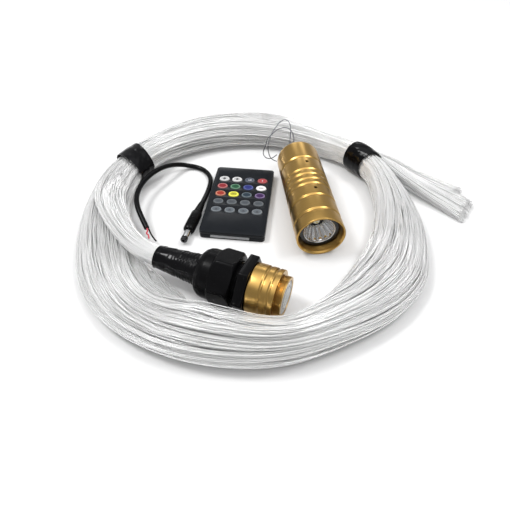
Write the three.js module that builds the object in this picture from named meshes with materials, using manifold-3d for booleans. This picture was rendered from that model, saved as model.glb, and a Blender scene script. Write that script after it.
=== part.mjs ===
// Fibre optic star ceiling kit: coiled fibre bundle with a gland and ferrule head, light engine,
// twenty-key hand remote and a short power lead, laid out on a flat surface.
// Millimetres, +Z up, the surface at z = 0.
import * as THREE from 'three';
import { mergeVertices } from 'three/addons/utils/BufferGeometryUtils.js';
import Module from 'manifold-3d';

const wasm = await Module();
wasm.setup();

// ---------------------------------------------------------------- driving dimensions
const ORIGIN_SHIFT = [6.9044, 33.2515, 0];      // moves the hard pieces' base centre to the origin
const GAP = 0.3;                            // gap between touching pieces

// coil of strands: angle, inner radius, outer radius, height (about COIL_C)
const COIL_C = [0, -6];
const COIL = [
  [0, 91, 125, 22], [12, 94, 121.5, 24], [22, 97, 120, 26], [34, 97.5, 119, 28], [46, 96.5, 116, 27],
  [59, 95, 120, 25], [75, 94, 128, 25], [90, 95.5, 136, 25], [105, 98.5, 139.5, 25], [120, 103, 142, 25],
  [135, 108, 143.5, 24], [150, 110.5, 144.5, 24], [162, 111, 146, 24], [176, 109.5, 146, 23],
  [190, 106.5, 146, 22], [200, 104.5, 147.5, 22], [210, 104.5, 150, 21], [220, 107.5, 151.5, 21],
  [230, 110, 151.5, 22], [240, 110.5, 150, 24], [250, 112.5, 148, 27], [260, 116, 145.5, 29],
  [270, 119.5, 143.5, 30], [278, 119.5, 141.5, 30], [286, 112, 139.5, 28], [294, 104, 138.5, 26],
  [303, 97.5, 139, 24], [312, 92.5, 140, 22], [325, 89.5, 139.5, 20], [338, 88.5, 134, 20], [350, 88.5, 129, 21],
];
const COIL_STATIONS = 48, COIL_SIDES = 10;
// tape bands: angle of the centre, half arc (deg), skew (deg per mm of radius)
const TAPE_L = { a: 154.5, half: 4.6, skew: 0.17 };
const TAPE_R = { a: 33.5, half: 5.6, skew: 0.12 };
const TAPE_IN = 0.45, TAPE_OUT = 1.35, TAPE_LIFT = 1.8;

// head (gland and ferrule): axis height, ferrule's rear face point, heading
const HEAD_P = [-6.1, -98.4], HEAD_Z = 20.0, HEAD_YAW = -21.3;
const CORE_R = 7.3;
const WRAP_S0 = -71.2, WRAP_S1 = -4.2;
const FERRULE_R = 16.8, FERRULE_L = 18.6, STEP_R = 13.7, STEP_END = 23.4;
const NUT_AF = 35, NUT_R = 19.7, NUT_S0 = -37.6, NUT_S1 = -10.4;
const FLANGE_AF = 36, FLANGE_R = 20.6, FLANGE_S0 = -6.6;
const NUT_PHASE = 40, FLANGE_PHASE = 52;

// light engine: centre, heading (degrees from -Y towards +X), radius, half length
const ENG_P = [36.8, 1.0], ENG_YAW = 7.0, ENG_R = 18.5, ENG_H = 51.8;
const ENG_GROOVES = [-8.4, -2.2, 4.2, 10.3, 24.0, 40.1];
const ENG_SEAM = -25.6;
const ENG_SCREWS = [-18.5, 16.1];
const ENG_BORE = 16.2, ENG_MOUTH = 17.1, BEZEL_S = 45.6;

// remote: centre, heading, size
const REM_P = [-20, 7], REM_YAW = -5.8, REM_W = 52, REM_L = 86, REM_T = 7;
const KEY_PX = 11.33, KEY_PY = 10.4, KEY_Y0 = 25.8, KEY_RX = 4.45, KEY_RY = 3.45;
const TRAY_X0 = -17.0, TRAY_X1 = 13.8;

// power lead
const CABLE_R = 1.9, PLUG_R = 4.7;

// ---------------------------------------------------------------- helpers
function clean(geo) {
  const g = geo.clone();
  for (const k of Object.keys(g.attributes)) if (k !== 'position') g.deleteAttribute(k);
  g.clearGroups();
  const m = mergeVertices(g, 1e-4);
  const ix = m.index.array, out = [];
  for (let i = 0; i < ix.length; i += 3) {
    const [a, b, c] = [ix[i], ix[i + 1], ix[i + 2]];
    if (a !== b && b !== c && a !== c) out.push(a, b, c);
  }
  const p = m.attributes.position;
  let vol = 0;
  const A = new THREE.Vector3(), B = new THREE.Vector3(), C = new THREE.Vector3();
  for (let i = 0; i < out.length; i += 3) {
    A.fromBufferAttribute(p, out[i]); B.fromBufferAttribute(p, out[i + 1]); C.fromBufferAttribute(p, out[i + 2]);
    vol += A.dot(B.cross(C));
  }
  if (vol < 0) for (let i = 0; i < out.length; i += 3) [out[i], out[i + 1]] = [out[i + 1], out[i]];
  m.setIndex(out);
  return m;
}
function solid(geo) {
  const g = clean(geo);
  return new wasm.Manifold(new wasm.Mesh({
    numProp: 3,
    vertProperties: new Float32Array(g.attributes.position.array),
    triVerts: new Uint32Array(g.index.array),
  }));
}
function geom(man) {
  const m = man.getMesh(), g = new THREE.BufferGeometry();
  const n = m.vertProperties.length / m.numProp, pos = new Float32Array(n * 3);
  for (let i = 0; i < n; i++) for (let k = 0; k < 3; k++) pos[3 * i + k] = m.vertProperties[i * m.numProp + k];
  g.setAttribute('position', new THREE.BufferAttribute(pos, 3));
  g.setIndex(Array.from(m.triVerts));
  return clean(g);
}
// solid of revolution about local X; the profile is a list of [s, r]
function latheX(profile, seg, phase = 0) {
  const g = new THREE.LatheGeometry(profile.map(([s, r]) => new THREE.Vector2(r, s)), seg);
  g.rotateY(THREE.MathUtils.degToRad(phase));
  g.rotateZ(-Math.PI / 2);
  return clean(g);
}
function latheZ(profile, seg) {
  const g = new THREE.LatheGeometry(profile.map(([z, r]) => new THREE.Vector2(r, z)), seg);
  g.rotateX(Math.PI / 2);
  return clean(g);
}
// closed loop profile for a ring
const loop = (pts) => [...pts, pts[0]];
// prism along local X from s0 to s1 with a polygon [y, z]
function prismX(poly, s0, s1) {
  const g = new THREE.ExtrudeGeometry(new THREE.Shape(poly.map(([y, z]) => new THREE.Vector2(y, z))),
    { depth: s1 - s0, bevelEnabled: false, curveSegments: 1 });
  // shape (y, z) in the XY plane, depth along Z -> x = depth, y = y, z = z
  g.applyMatrix4(new THREE.Matrix4().set(0, 0, 1, s0, 1, 0, 0, 0, 0, 1, 0, 0, 0, 0, 0, 1));
  return clean(g);
}
function hexPoly(af, rmax, phase) {
  const R = af / Math.sqrt(3) , pts = [];                // sharp corner radius
  const half = R > rmax ? 30 - THREE.MathUtils.radToDeg(Math.acos((af / 2) / rmax)) : 0;
  for (let k = 0; k < 6; k++) {
    const c = phase + 60 * k;
    if (half > 0) for (const d of [-half, half]) {
      const t = THREE.MathUtils.degToRad(c + d);
      pts.push([rmax * Math.cos(t), rmax * Math.sin(t)]);
    } else {
      const t = THREE.MathUtils.degToRad(c);
      pts.push([R * Math.cos(t), R * Math.sin(t)]);
    }
  }
  return pts;
}
function extrudeZ(shape, z0, z1, curveSegments = 6) {
  const g = new THREE.ExtrudeGeometry(shape, { depth: z1 - z0, bevelEnabled: false, curveSegments });
  g.translate(0, 0, z0);
  return clean(g);
}
function roundPts(x0, y0, x1, y1, r, n = 4) {
  const pts = [];
  for (const [cx, cy, a] of [[x1 - r, y1 - r, 0], [x0 + r, y1 - r, 90], [x0 + r, y0 + r, 180], [x1 - r, y0 + r, 270]])
    for (let i = 0; i <= n; i++) {
      const t = THREE.MathUtils.degToRad(a + 90 * i / n);
      pts.push(new THREE.Vector2(cx + r * Math.cos(t), cy + r * Math.sin(t)));
    }
  return pts;
}
function roundRect(...args) {
  const s = new THREE.Shape();
  s.setFromPoints(roundPts(...args));
  return s;
}
function box(x0, y0, z0, x1, y1, z1) {
  const g = new THREE.BoxGeometry(x1 - x0, y1 - y0, z1 - z0);
  g.translate((x0 + x1) / 2, (y0 + y1) / 2, (z0 + z1) / 2);
  return clean(g);
}
// tube along a smooth curve through points
function tube(points, r, steps, sides = 8) {
  const curve = new THREE.CatmullRomCurve3(points.map((p) => new THREE.Vector3(...p)), false, 'centripetal');
  const sh = new THREE.Shape();
  sh.setFromPoints([...Array(sides)].map((_, i) => {
    const t = 2 * Math.PI * (i + 0.5) / sides;
    return new THREE.Vector2(r * Math.cos(t), r * Math.sin(t));
  }));
  return clean(new THREE.ExtrudeGeometry(sh, { steps, extrudePath: curve, bevelEnabled: false }));
}
// body lofted through equal rings of points; closed in u when wrap is true, else capped
function loft(rings, wrap) {
  const n = rings.length, m = rings[0].length, pos = [], ix = [];
  for (const ring of rings) for (const p of ring) pos.push(...p);
  const lim = wrap ? n : n - 1;
  for (let i = 0; i < lim; i++) for (let j = 0; j < m; j++) {
    const a = i * m + j, b = i * m + (j + 1) % m, c = ((i + 1) % n) * m + j, d = ((i + 1) % n) * m + (j + 1) % m;
    ix.push(a, b, d, a, d, c);
  }
  if (!wrap) for (let j = 1; j < m - 1; j++) {
    ix.push(0, j + 1, j);
    const o = (n - 1) * m;
    ix.push(o, o + j, o + j + 1);
  }
  const g = new THREE.BufferGeometry();
  g.setAttribute('position', new THREE.BufferAttribute(new Float32Array(pos), 3));
  g.setIndex(ix);
  return clean(g);
}
// hollow sleeve: rings of outer points and rings of inner points
function sleeve(outer, inner) {
  const n = outer.length, m = outer[0].length, pos = [], ix = [];
  for (const ring of outer) for (const p of ring) pos.push(...p);
  for (const ring of inner) for (const p of ring) pos.push(...p);
  const O = (i, j) => i * m + (j % m), I = (i, j) => n * m + i * m + (j % m);
  for (let i = 0; i < n - 1; i++) for (let j = 0; j < m; j++) {
    ix.push(O(i, j), O(i, j + 1), O(i + 1, j + 1), O(i, j), O(i + 1, j + 1), O(i + 1, j));
    ix.push(I(i, j), I(i + 1, j + 1), I(i, j + 1), I(i, j), I(i + 1, j), I(i + 1, j + 1));
  }
  for (let j = 0; j < m; j++) {
    ix.push(O(0, j), I(0, j + 1), O(0, j + 1), O(0, j), I(0, j), I(0, j + 1));
    const e = n - 1;
    ix.push(O(e, j), O(e, j + 1), I(e, j + 1), O(e, j), I(e, j + 1), I(e, j));
  }
  const g = new THREE.BufferGeometry();
  g.setAttribute('position', new THREE.BufferAttribute(new Float32Array(pos), 3));
  g.setIndex(ix);
  return clean(g);
}

const kit = new THREE.Group();
kit.position.set(...ORIGIN_SHIFT);
const mat = (color, roughness, metalness = 0) => new THREE.MeshStandardMaterial({ color, roughness, metalness });
const M = {
  fibre: mat(0xe4e6e4, 0.25), tape: mat(0x101012, 0.35), nylon: mat(0x18181a, 0.55), gold: mat(0xb98a3c, 0.35, 0.9),
  rubber: mat(0x222224, 0.8), resin: mat(0x8d9188, 0.2), chrome: mat(0xd6d8da, 0.1, 1), black: mat(0x0c0c0d, 0.4),
  board: mat(0x1d4a2c, 0.5), led: mat(0xf0e8a0, 0.3), alu: mat(0xb5b8bb, 0.4, 0.9), steel: mat(0x8a8d90, 0.3, 1),
  wire: mat(0x8c8e92, 0.4, 0.5), red: mat(0xb02030, 0.5), pvc: mat(0x131314, 0.5), case: mat(0x1b1c20, 0.5),
  tray: mat(0x6f7376, 0.4), copper: mat(0xc9a25a, 0.3, 1),
  white: mat(0xf2f2f2, 0.5), slate: mat(0x4a5560, 0.5), kred: mat(0xc0303a, 0.5), green: mat(0x2f9e4f, 0.5),
  blue: mat(0x2f6fc4, 0.5), orange: mat(0xd2603a, 0.5), yellow: mat(0xe0b93a, 0.5), teal: mat(0x2c5a66, 0.5),
  purple: mat(0x6d4aa0, 0.5), grey: mat(0x5c6268, 0.5), grey2: mat(0x83898d, 0.5),
};
function add(parent, name, geometry, material) {
  const mesh = new THREE.Mesh(geometry, material);
  mesh.name = name;
  parent.add(mesh);
  return mesh;
}

// ---------------------------------------------------------------- fibre coil
function coilAt(deg) {
  const a = ((deg % 360) + 360) % 360, n = COIL.length;
  let i = 0;
  while (i < n - 1 && COIL[i + 1][0] <= a) i++;
  const row = (k) => {
    const w = Math.floor(k / n), q = ((k % n) + n) % n;
    return [COIL[q][0] + 360 * w, COIL[q][1], COIL[q][2], COIL[q][3]];
  };
  const [p0, p1, p2, p3] = [row(i - 1), row(i), row(i + 1), row(i + 2)];
  const t = (a - p1[0]) / (p2[0] - p1[0]);
  return [1, 2, 3].map((k) => {
    const m1 = (p2[k] - p0[k]) / (p2[0] - p0[0]) * (p2[0] - p1[0]);
    const m2 = (p3[k] - p1[k]) / (p3[0] - p1[0]) * (p2[0] - p1[0]);
    const t2 = t * t, t3 = t2 * t;
    return (2 * t3 - 3 * t2 + 1) * p1[k] + (t3 - 2 * t2 + t) * m1 + (-2 * t3 + 3 * t2) * p2[k] + (t3 - t2) * m2;
  });
}
function tapeLift(deg) {
  let lift = 0;
  for (const T of [TAPE_L, TAPE_R]) {
    let d = Math.abs((((deg - T.a) % 360) + 540) % 360 - 180);
    const u = Math.min(1, Math.max(0, (20 - d) / 8));
    lift = Math.max(lift, TAPE_LIFT * u * u * (3 - 2 * u));
  }
  return lift;
}
// ring of section points, grown outwards by g and squeezed to stay on the surface
function coilRing(deg, g = 0, skew = 0, zfloor = 0) {
  const pts = [];
  const [ri, ro, h] = coilAt(deg), rc = (ri + ro) / 2;
  for (let j = 0; j < COIL_SIDES; j++) {
    const f = 2 * Math.PI * (j + 0.5) / COIL_SIDES;
    const r0 = rc + (ro - ri) / 2 * Math.cos(f);
    const d = deg - skew * (r0 - rc);
    const [qi, qo, qh] = coilAt(d), lift = tapeLift(d);
    const r = (qi + qo) / 2 + ((qo - qi) / 2 + g) * Math.cos(f);
    let z = lift + (qh - lift) / 2 + ((qh - lift) / 2 / Math.sin(75 * Math.PI / 180) + g) * Math.sin(f);
    z = Math.max(zfloor, z);
    const t = THREE.MathUtils.degToRad(d);
    pts.push([COIL_C[0] + r * Math.cos(t), COIL_C[1] + r * Math.sin(t), z]);
  }
  return pts;
}
const coilRings = [];
for (let i = 0; i < COIL_STATIONS; i++) coilRings.push(coilRing(360 * i / COIL_STATIONS));
const coilGeo = loft(coilRings, true);
add(kit, 'fibre_coil', coilGeo, M.fibre);
const coilGrown = solid(loft([...Array(COIL_STATIONS)].map((_, i) => coilRing(360 * i / COIL_STATIONS, 0.5, 0, -2)), true));

function tapeBand(T) {
  const outer = [], inner = [];
  for (let k = 0; k < 4; k++) {
    const d = T.a - T.half + 2 * T.half * k / 3;
    outer.push(coilRing(d, TAPE_OUT, T.skew, 0.05));
    inner.push(coilRing(d, TAPE_IN, T.skew, 0.9));
  }
  return sleeve(outer, inner);
}
// the sleeve's chords are kept off the coil by cutting it with the grown coil
const tapeL = solid(tapeBand(TAPE_L)), tapeR = solid(tapeBand(TAPE_R));
const coilSkin = solid(loft([...Array(COIL_STATIONS)].map((_, i) => coilRing(360 * i / COIL_STATIONS, 0.3)), true));
add(kit, 'coil_tape_left', geom(tapeL.subtract(coilSkin)), M.tape);
add(kit, 'coil_tape_right', geom(tapeR.subtract(coilSkin)), M.tape);

// free ends: a flat fan leaving the right tape
{
  const sec = [[108.5, 49.5, 19, 5.5, 7], [120, 42, 17, 7.5, 6.5], [133, 33, 13, 11, 5.6], [150, 20, 8.6, 17, 4.6], [168, 6, 5, 25, 3.4], [183, -6, 3, 33, 2.6]];
  const rings = sec.map(([x, y, z, hw, hh], i) => {
    const p = sec[Math.max(0, i - 1)], q = sec[Math.min(sec.length - 1, i + 1)];
    const L = Math.hypot(q[0] - p[0], q[1] - p[1]), nx = -(q[1] - p[1]) / L, ny = (q[0] - p[0]) / L;
    return [...Array(10)].map((_, j) => {
      const f = 2 * Math.PI * (j + 0.5) / 10;
      return [x + nx * hw * Math.cos(f), y + ny * hw * Math.cos(f), Math.max(0.2, z + hh * Math.sin(f))];
    });
  });
  const grownTape = solid(sleeve(
    [0, 1, 2, 3].map((k) => coilRing(TAPE_R.a - TAPE_R.half - 1 + 2 * (TAPE_R.half + 1) * k / 3, TAPE_OUT + 0.4, TAPE_R.skew, -1)),
    [0, 1, 2, 3].map((k) => coilRing(TAPE_R.a - TAPE_R.half - 1 + 2 * (TAPE_R.half + 1) * k / 3, -1, TAPE_R.skew, -1))));
  add(kit, 'fibre_tail', geom(solid(loft(rings, false)).subtract(coilGrown).subtract(grownTape)), M.fibre);
}

// ---------------------------------------------------------------- head: gland and ferrule
const head = new THREE.Group();
head.position.set(HEAD_P[0], HEAD_P[1], HEAD_Z);
head.rotation.z = THREE.MathUtils.degToRad(HEAD_YAW);
kit.add(head);

// strands between the tape wrap and the coil
{
  const c = Math.cos(head.rotation.z), s = Math.sin(head.rotation.z);
  const W = (x, y, z) => [HEAD_P[0] + c * x - s * y, HEAD_P[1] + s * x + c * y, HEAD_Z + z];
  const p0 = W(WRAP_S0 - GAP, 0, 0), p1 = W(WRAP_S0 - 12, 0.4, 0.2), p2 = W(WRAP_S0 - 24, 2.2, -1), p3 = W(WRAP_S0 - 40, 7, -6);
  const t = tube([p0, p1, p2, p3], CORE_R, 10, 12);
  const cut = solid(t).subtract(coilGrown);
  // only the stretch on the head's side of the coil is kept
  const keep = solid(box(-96, -86, 0, -60, -40, 60));
  add(kit, 'fibre_lead_in', geom(cut.intersect(keep)), M.fibre);
}
add(head, 'fibre_core', latheX([[WRAP_S0, 0], [WRAP_S0, CORE_R], [STEP_END - 0.1, CORE_R], [STEP_END - 0.1, 0]], 16), M.fibre);
add(head, 'head_tape_wrap', latheX(loop([[WRAP_S0 + 0.2, 7.65], [WRAP_S1, 7.65], [WRAP_S1, 10.85], [-39, 10.85],
  [-46, 10.1], [-58, 8.9], [WRAP_S0 + 0.2, 8.15]].reverse()), 20), M.tape);
{
  const flange = solid(prismX(hexPoly(FLANGE_AF, FLANGE_R, FLANGE_PHASE), FLANGE_S0, 0));
  const stem = solid(latheX([[-26.8, 0], [-26.8, 13.4], [-26.3, 13.9], [FLANGE_S0 + 0.1, 13.9], [FLANGE_S0 + 0.1, 12.6],
    [11.4, 12.6], [12, 12], [12, 0]], 28));
  const bore = solid(latheX([[-30, 0], [-30, 11.2], [-3.6, 11.2], [-3.6, 7.65], [14, 7.65], [14, 0]], 24));
  add(head, 'gland_body', geom(flange.add(stem).subtract(bore)), M.nylon);
}
add(head, 'ferrule', latheX(loop([
  [0.3, 12.95], [0.3, 16.4], [0.8, FERRULE_R], [8.5, FERRULE_R], [8.7, 16.35], [9.4, 16.35], [9.6, FERRULE_R],
  [13.9, FERRULE_R], [14.1, 16.35], [14.8, 16.35], [15.0, FERRULE_R], [FERRULE_L - 0.4, FERRULE_R], [FERRULE_L, 16.4],
  [FERRULE_L, 13.2], [19.4, 13.2], [19.8, STEP_R], [21.0, 13.3], [22.2, STEP_R],
  [23.0, STEP_R], [STEP_END, 13.2], [STEP_END, 11.3], [13, 11.3], [13, 12.95]]), 28), M.gold);
add(head, 'resin_plug', latheX(loop([[13.4, 7.65], [13.4, 11.0], [STEP_END - 0.2, 11.0], [STEP_END - 0.2, 7.65]]), 24), M.resin);
// pieces that turn or travel with the dome nut
{
  const ring = solid(latheX(loop([[-33.8, 12.75], [-33.8, 13.2], [-31.5, 13.85], [-27.2, 13.85], [-27.2, 12.75]]), 20));
  let crown = ring;
  for (let k = 0; k < 8; k++) {
    const slot = new THREE.BoxGeometry(4.2, 3, 1.2);
    slot.translate(-33.0, 0, 13.4);
    slot.rotateX(THREE.MathUtils.degToRad(22.5 + 45 * k));
    crown = crown.subtract(solid(slot));
  }
  add(head, 'gland_claw_ring', geom(crown), M.nylon);
}
add(head, 'gland_seal', latheX(loop([[-33.4, 11.2], [-33.4, 12.1], [-32.6, 12.4], [-27.2, 12.4], [-27.2, 11.2]]), 20), M.rubber);
{
  const hex = solid(prismX(hexPoly(NUT_AF, NUT_R, NUT_PHASE), -25.6, NUT_S1));
  const dome = solid(latheX([[NUT_S0, 0], [NUT_S0, 12.2], [-37.2, 13.6], [-35.6, 15.4], [-33.4, 16.7], [-31, 17.2], [-25.2, 17.2], [-25.2, 0]], 24));
  const chamfer = solid(latheX([[NUT_S0 - 1, 0], [NUT_S0 - 1, 17.6], [-27.2, 17.6], [-25.3, 17.9], [-23.9, 20.6], [-11.8, 20.6],
    [NUT_S1, 18.0], [NUT_S1 + 0.5, 18.0], [NUT_S1 + 0.5, 0]], 24));
  const bore = solid(latheX([[NUT_S0 - 2, 0], [NUT_S0 - 2, 11.45], [-35.2, 11.45], [-34.2, 14.2], [NUT_S1 + 2, 14.2], [NUT_S1 + 2, 0]], 24));
  add(head, 'gland_dome_nut', geom(hex.add(dome).intersect(chamfer).subtract(bore)), M.nylon);
}

// ---------------------------------------------------------------- light engine (local +X is the mouth end)
const engine = new THREE.Group();
engine.position.set(ENG_P[0], ENG_P[1], ENG_R);
engine.rotation.z = THREE.MathUtils.degToRad(ENG_YAW - 90);
kit.add(engine);
{
  const outer = [[ENG_SEAM + 0.5, ENG_R - 0.7], [ENG_SEAM + 1.1, ENG_R]];
  for (const g of ENG_GROOVES) outer.push([g - 0.75, ENG_R], [g - 0.3, ENG_R - 0.65], [g + 0.3, ENG_R - 0.65], [g + 0.75, ENG_R]);
  outer.push([ENG_H - 0.6, ENG_R], [ENG_H, ENG_R - 0.5]);
  const inner = [[ENG_H, ENG_MOUTH + 0.7], [ENG_H - 1.0, ENG_MOUTH], [BEZEL_S + 0.4, 15.4], [30.4, 15.3], [29.6, ENG_BORE], [ENG_SEAM + 0.5, ENG_BORE]];
  let body = solid(latheX(loop([...outer, ...inner]), 28));
  for (const s of ENG_SCREWS) {
    const h = new THREE.CylinderGeometry(1.4, 1.4, 6, 10);
    h.rotateX(Math.PI / 2);
    h.translate(s, 0, ENG_R - 1);
    h.rotateX(THREE.MathUtils.degToRad(-5));
    body = body.subtract(solid(h));
  }
  add(engine, 'engine_housing', geom(body), M.gold);
  ENG_SCREWS.forEach((s, i) => {
    const h = new THREE.CylinderGeometry(1.1, 1.1, 1.3, 8);
    h.rotateX(Math.PI / 2);
    h.translate(s, 0, 17.05);
    h.rotateX(THREE.MathUtils.degToRad(-5));
    add(engine, i ? 'set_screw_front' : 'set_screw_rear', clean(h), M.steel);
  });
  const cap = solid(latheX([[-ENG_H, 0], [-ENG_H, 13.6], [-51.5, 15.2], [-50.4, 17.1], [-48.8, 18.2], [-47, ENG_R], [ENG_SEAM - 0.75, ENG_R], [ENG_SEAM - 0.1, ENG_R - 0.7], [ENG_SEAM - 0.1, 15.9], [-14.6, 15.9], [-14.6, 0]], 28));
  const hollow = solid(latheX([[-46.6, 0], [-46.6, 14.2], [-10, 14.2], [-10, 0]], 20));
  const hole = (y, z, r) => { const h = new THREE.CylinderGeometry(r, r, 12, 16); h.rotateZ(Math.PI / 2); h.translate(-49, y, z); return solid(h); };
  add(engine, 'engine_tail_cap', geom(cap.subtract(hollow).subtract(hole(4.6, 6, 2.6)).subtract(hole(-2.5, -4.5, 4.9))), M.gold);
  const gr = solid(latheX(loop([[-52.6, 1.6], [-52.6, 3.3], [-52.1, 3.3], [-52.1, 2.3], [-45.4, 2.3], [-45.4, 1.6]]), 14));
  add(engine, 'tail_grommet', geom(gr.translate([0, 4.6, 6])), M.rubber);
  const jack = latheX([[-52.4, 5.6], [-52.1, 5.6], [-52.1, 4.6], [-38.4, 4.6], [-38.4, 0], [-48.6, 0], [-49.2, 0.8], [-49.2, 1.0], [-40.4, 1.0], [-40.4, 3.2], [-52.4, 3.2], [-52.4, 5.6]], 20);
  jack.translate(0, -2.5, -4.5);
  add(engine, 'dc_jack', clean(jack), M.black);
  let board = solid(box(-37, -11.5, -0.8, 9.5, 11.5, 0.8));
  board = board.add(solid(box(-30, -6, 0.7, -18, 4, 4.4))).add(solid(box(-12, -8, 0.7, -4, -1, 2.8))).add(solid(box(-8, 2, 0.7, 4, 8, 5.5)));
  add(engine, 'driver_board', geom(board), M.board);
  add(engine, 'heat_sink', latheX([[10.4, 0], [10.4, 15.0], [11.4, 15.9], [28.4, 15.9], [28.8, 15.5], [28.8, 0]], 24), M.alu);
  add(engine, 'led_board', latheX([[29.1, 0], [29.1, 11], [30.3, 11], [30.3, 0]], 20), M.board);
  add(engine, 'led_emitter', latheX([[30.6, 0], [30.6, 3.6], [31.4, 3.6], [31.4, 2.6], [32.6, 2.3], [33.5, 1.4], [33.9, 0]], 16), M.led);
  const rf = [[31.2, 4.5], [30.9, 5.4], [30.9, 5.9], [33, 6.6], [44.9, 11.9], [BEZEL_S - 0.3, 11.9], [BEZEL_S - 0.3, 11.5], [44.6, 11.3], [38, 8.2], [33.4, 5.6]];
  add(engine, 'reflector', latheX(loop(rf), 24), M.chrome);
  add(engine, 'bezel_ring', latheX(loop([[42.2, 12.3], [42.2, 14.9], [BEZEL_S, 14.9], [BEZEL_S, 12.3]]), 28), M.black);
}
// the two thin wires looping out of the grommet
add(kit, 'antenna_wire_long', tube([[26.2, 53.4, 24.6], [26.6, 58, 25.4], [28, 67, 27], [27, 74, 30], [24, 78, 32], [19, 78.5, 33], [13, 75, 33], [8, 69, 32], [4, 63, 31],
  [2.4, 57, 29], [0.6, 54, 25], [0, 56.5, 19.5], [1, 60, 14], [3.6, 62.4, 10], [7, 63.4, 9], [10, 63.8, 10.5], [12.6, 63.6, 13]], 0.4, 36), M.wire);
add(kit, 'antenna_wire_short', tube([[24.4, 53.2, 24.6], [24, 58, 27.2], [24.6, 70, 30.6], [24.8, 79.5, 34.6], [23.4, 84, 36.2], [20, 86, 37], [15.2, 81.6, 37], [12, 76, 36], [8, 67, 34.8],
  [5.4, 58.5, 33], [4.2, 53, 30], [5, 55, 20.5], [7, 57.5, 13.6], [10, 57.6, 11], [12.4, 54.6, 12]], 0.4, 36), M.wire);

// ---------------------------------------------------------------- remote
const remote = new THREE.Group();
remote.position.set(REM_P[0], REM_P[1], 0);
remote.rotation.z = THREE.MathUtils.degToRad(REM_YAW);
kit.add(remote);
const HX = REM_W / 2, HY = REM_L / 2;
{
  // bottom shell: floor, walls, two rails beside the battery bay and a slot in the front wall
  const outer = solid(extrudeZ(roundRect(-HX, -HY, HX, HY, 3, 4), 0, 3.6));
  let cav = solid(box(-HX + 1.3, -HY + 1.3, 0.8, HX - 1.3, HY - 1.3, 5));
  const rails = solid(box(TRAY_X0 - 1.6, -HY + 1.2, 0.7, TRAY_X0 - 0.4, -8, 3.6)).add(solid(box(TRAY_X1 + 0.4, -HY + 1.2, 0.7, TRAY_X1 + 1.6, -8, 3.6)));
  const slot = solid(box(TRAY_X0 - 0.35, -HY - 1, 0.8, TRAY_X1 + 0.35, -HY + 2, 5));
  add(remote, 'remote_case_bottom', geom(outer.subtract(cav).add(rails).subtract(slot)), M.case);
  // top shell: plate with twenty oval holes and a skirt
  const plateShape = roundRect(-HX, -HY, HX, HY, 3, 4);
  for (let r = 0; r < 5; r++) for (let c = 0; c < 4; c++) {
    const h = new THREE.Path(), pts = [];
    for (let i = 0; i < 10; i++) {
      const t = 2 * Math.PI * i / 10;
      pts.push(new THREE.Vector2((c - 1.5) * KEY_PX + (KEY_RX + 0.3) * Math.cos(t), KEY_Y0 - r * KEY_PY + (KEY_RY + 0.3) * Math.sin(t)));
    }
    h.setFromPoints(pts);
    plateShape.holes.push(h);
  }
  const plate = solid(extrudeZ(plateShape, 5.95, REM_T));
  const skirtShape = roundRect(-HX, -HY, HX, HY, 3, 4), inner = new THREE.Path();
  inner.setFromPoints(roundPts(-HX + 1.3, -HY + 1.3, HX - 1.3, HY - 1.3, 1.8, 2));
  skirtShape.holes.push(inner);
  add(remote, 'remote_case_top', geom(plate.add(solid(extrudeZ(skirtShape, 3.9, 6.1)))), M.case);
  add(remote, 'remote_board', extrudeZ(roundRect(-HX + 1.7, -HY + 1.7, HX - 1.7, HY - 1.7, 1.6, 2), 3.95, 4.75), M.board);
  // battery drawer with its front bar
  const barShape = box(TRAY_X0, -HY, 1.0, TRAY_X1, -HY + 3, 3.6);
  let tray = solid(barShape).add(solid(box(TRAY_X0 + 2.2, -HY + 2.9, 1.1, TRAY_X1 - 2.2, -HY + 30, 3.5)));
  const well = new THREE.CylinderGeometry(10.3, 10.3, 6, 24);
  well.rotateX(Math.PI / 2);
  well.translate((TRAY_X0 + TRAY_X1) / 2, -HY + 16.5, 2.3);
  add(remote, 'remote_battery_tray', geom(tray.subtract(solid(well))), M.tray);
  const cell = new THREE.CylinderGeometry(10, 10, 2.4, 24);
  cell.rotateX(Math.PI / 2);
  cell.translate((TRAY_X0 + TRAY_X1) / 2, -HY + 16.5, 2.3);
  add(remote, 'coin_cell', clean(cell), M.steel);
  const clip = new THREE.Shape();
  clip.setFromPoints([[0, 1.1], [5, 1.1], [5, 1.5], [0.4, 1.5], [0.4, 3.2], [2.6, 3.2], [2.6, 3.6], [0, 3.6]].map(([y, z]) => new THREE.Vector2(y, z)));
  const clipG = new THREE.ExtrudeGeometry(clip, { depth: 5, bevelEnabled: false });
  clipG.applyMatrix4(new THREE.Matrix4().set(0, 0, 1, (TRAY_X0 + TRAY_X1) / 2 - 2.5, 1, 0, 0, -HY + 31, 0, 1, 0, 0, 0, 0, 0, 1));
  add(remote, 'battery_contact', clean(clipG), M.copper);
  const colours = [['white', 'white', 'slate', 'kred'], ['kred', 'green', 'blue', 'white'], ['orange', 'yellow', 'teal', 'purple'],
    ['grey', 'grey', 'grey', 'grey'], ['grey2', 'grey2', 'grey2', 'grey2']];
  for (let r = 0; r < 5; r++) for (let c = 0; c < 4; c++) {
    const k = latheZ([[5.15, 0], [5.15, KEY_RY + 0.7], [5.6, KEY_RY + 0.7], [5.6, KEY_RY], [7.5, KEY_RY - 0.15], [7.5, 0]], 10);
    k.scale(KEY_RX / KEY_RY, 1, 1);
    k.translate((c - 1.5) * KEY_PX, KEY_Y0 - r * KEY_PY, 0);
    add(remote, `remote_key_r${r + 1}c${c + 1}`, clean(k), M[colours[r][c]]);
  }
}

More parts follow.
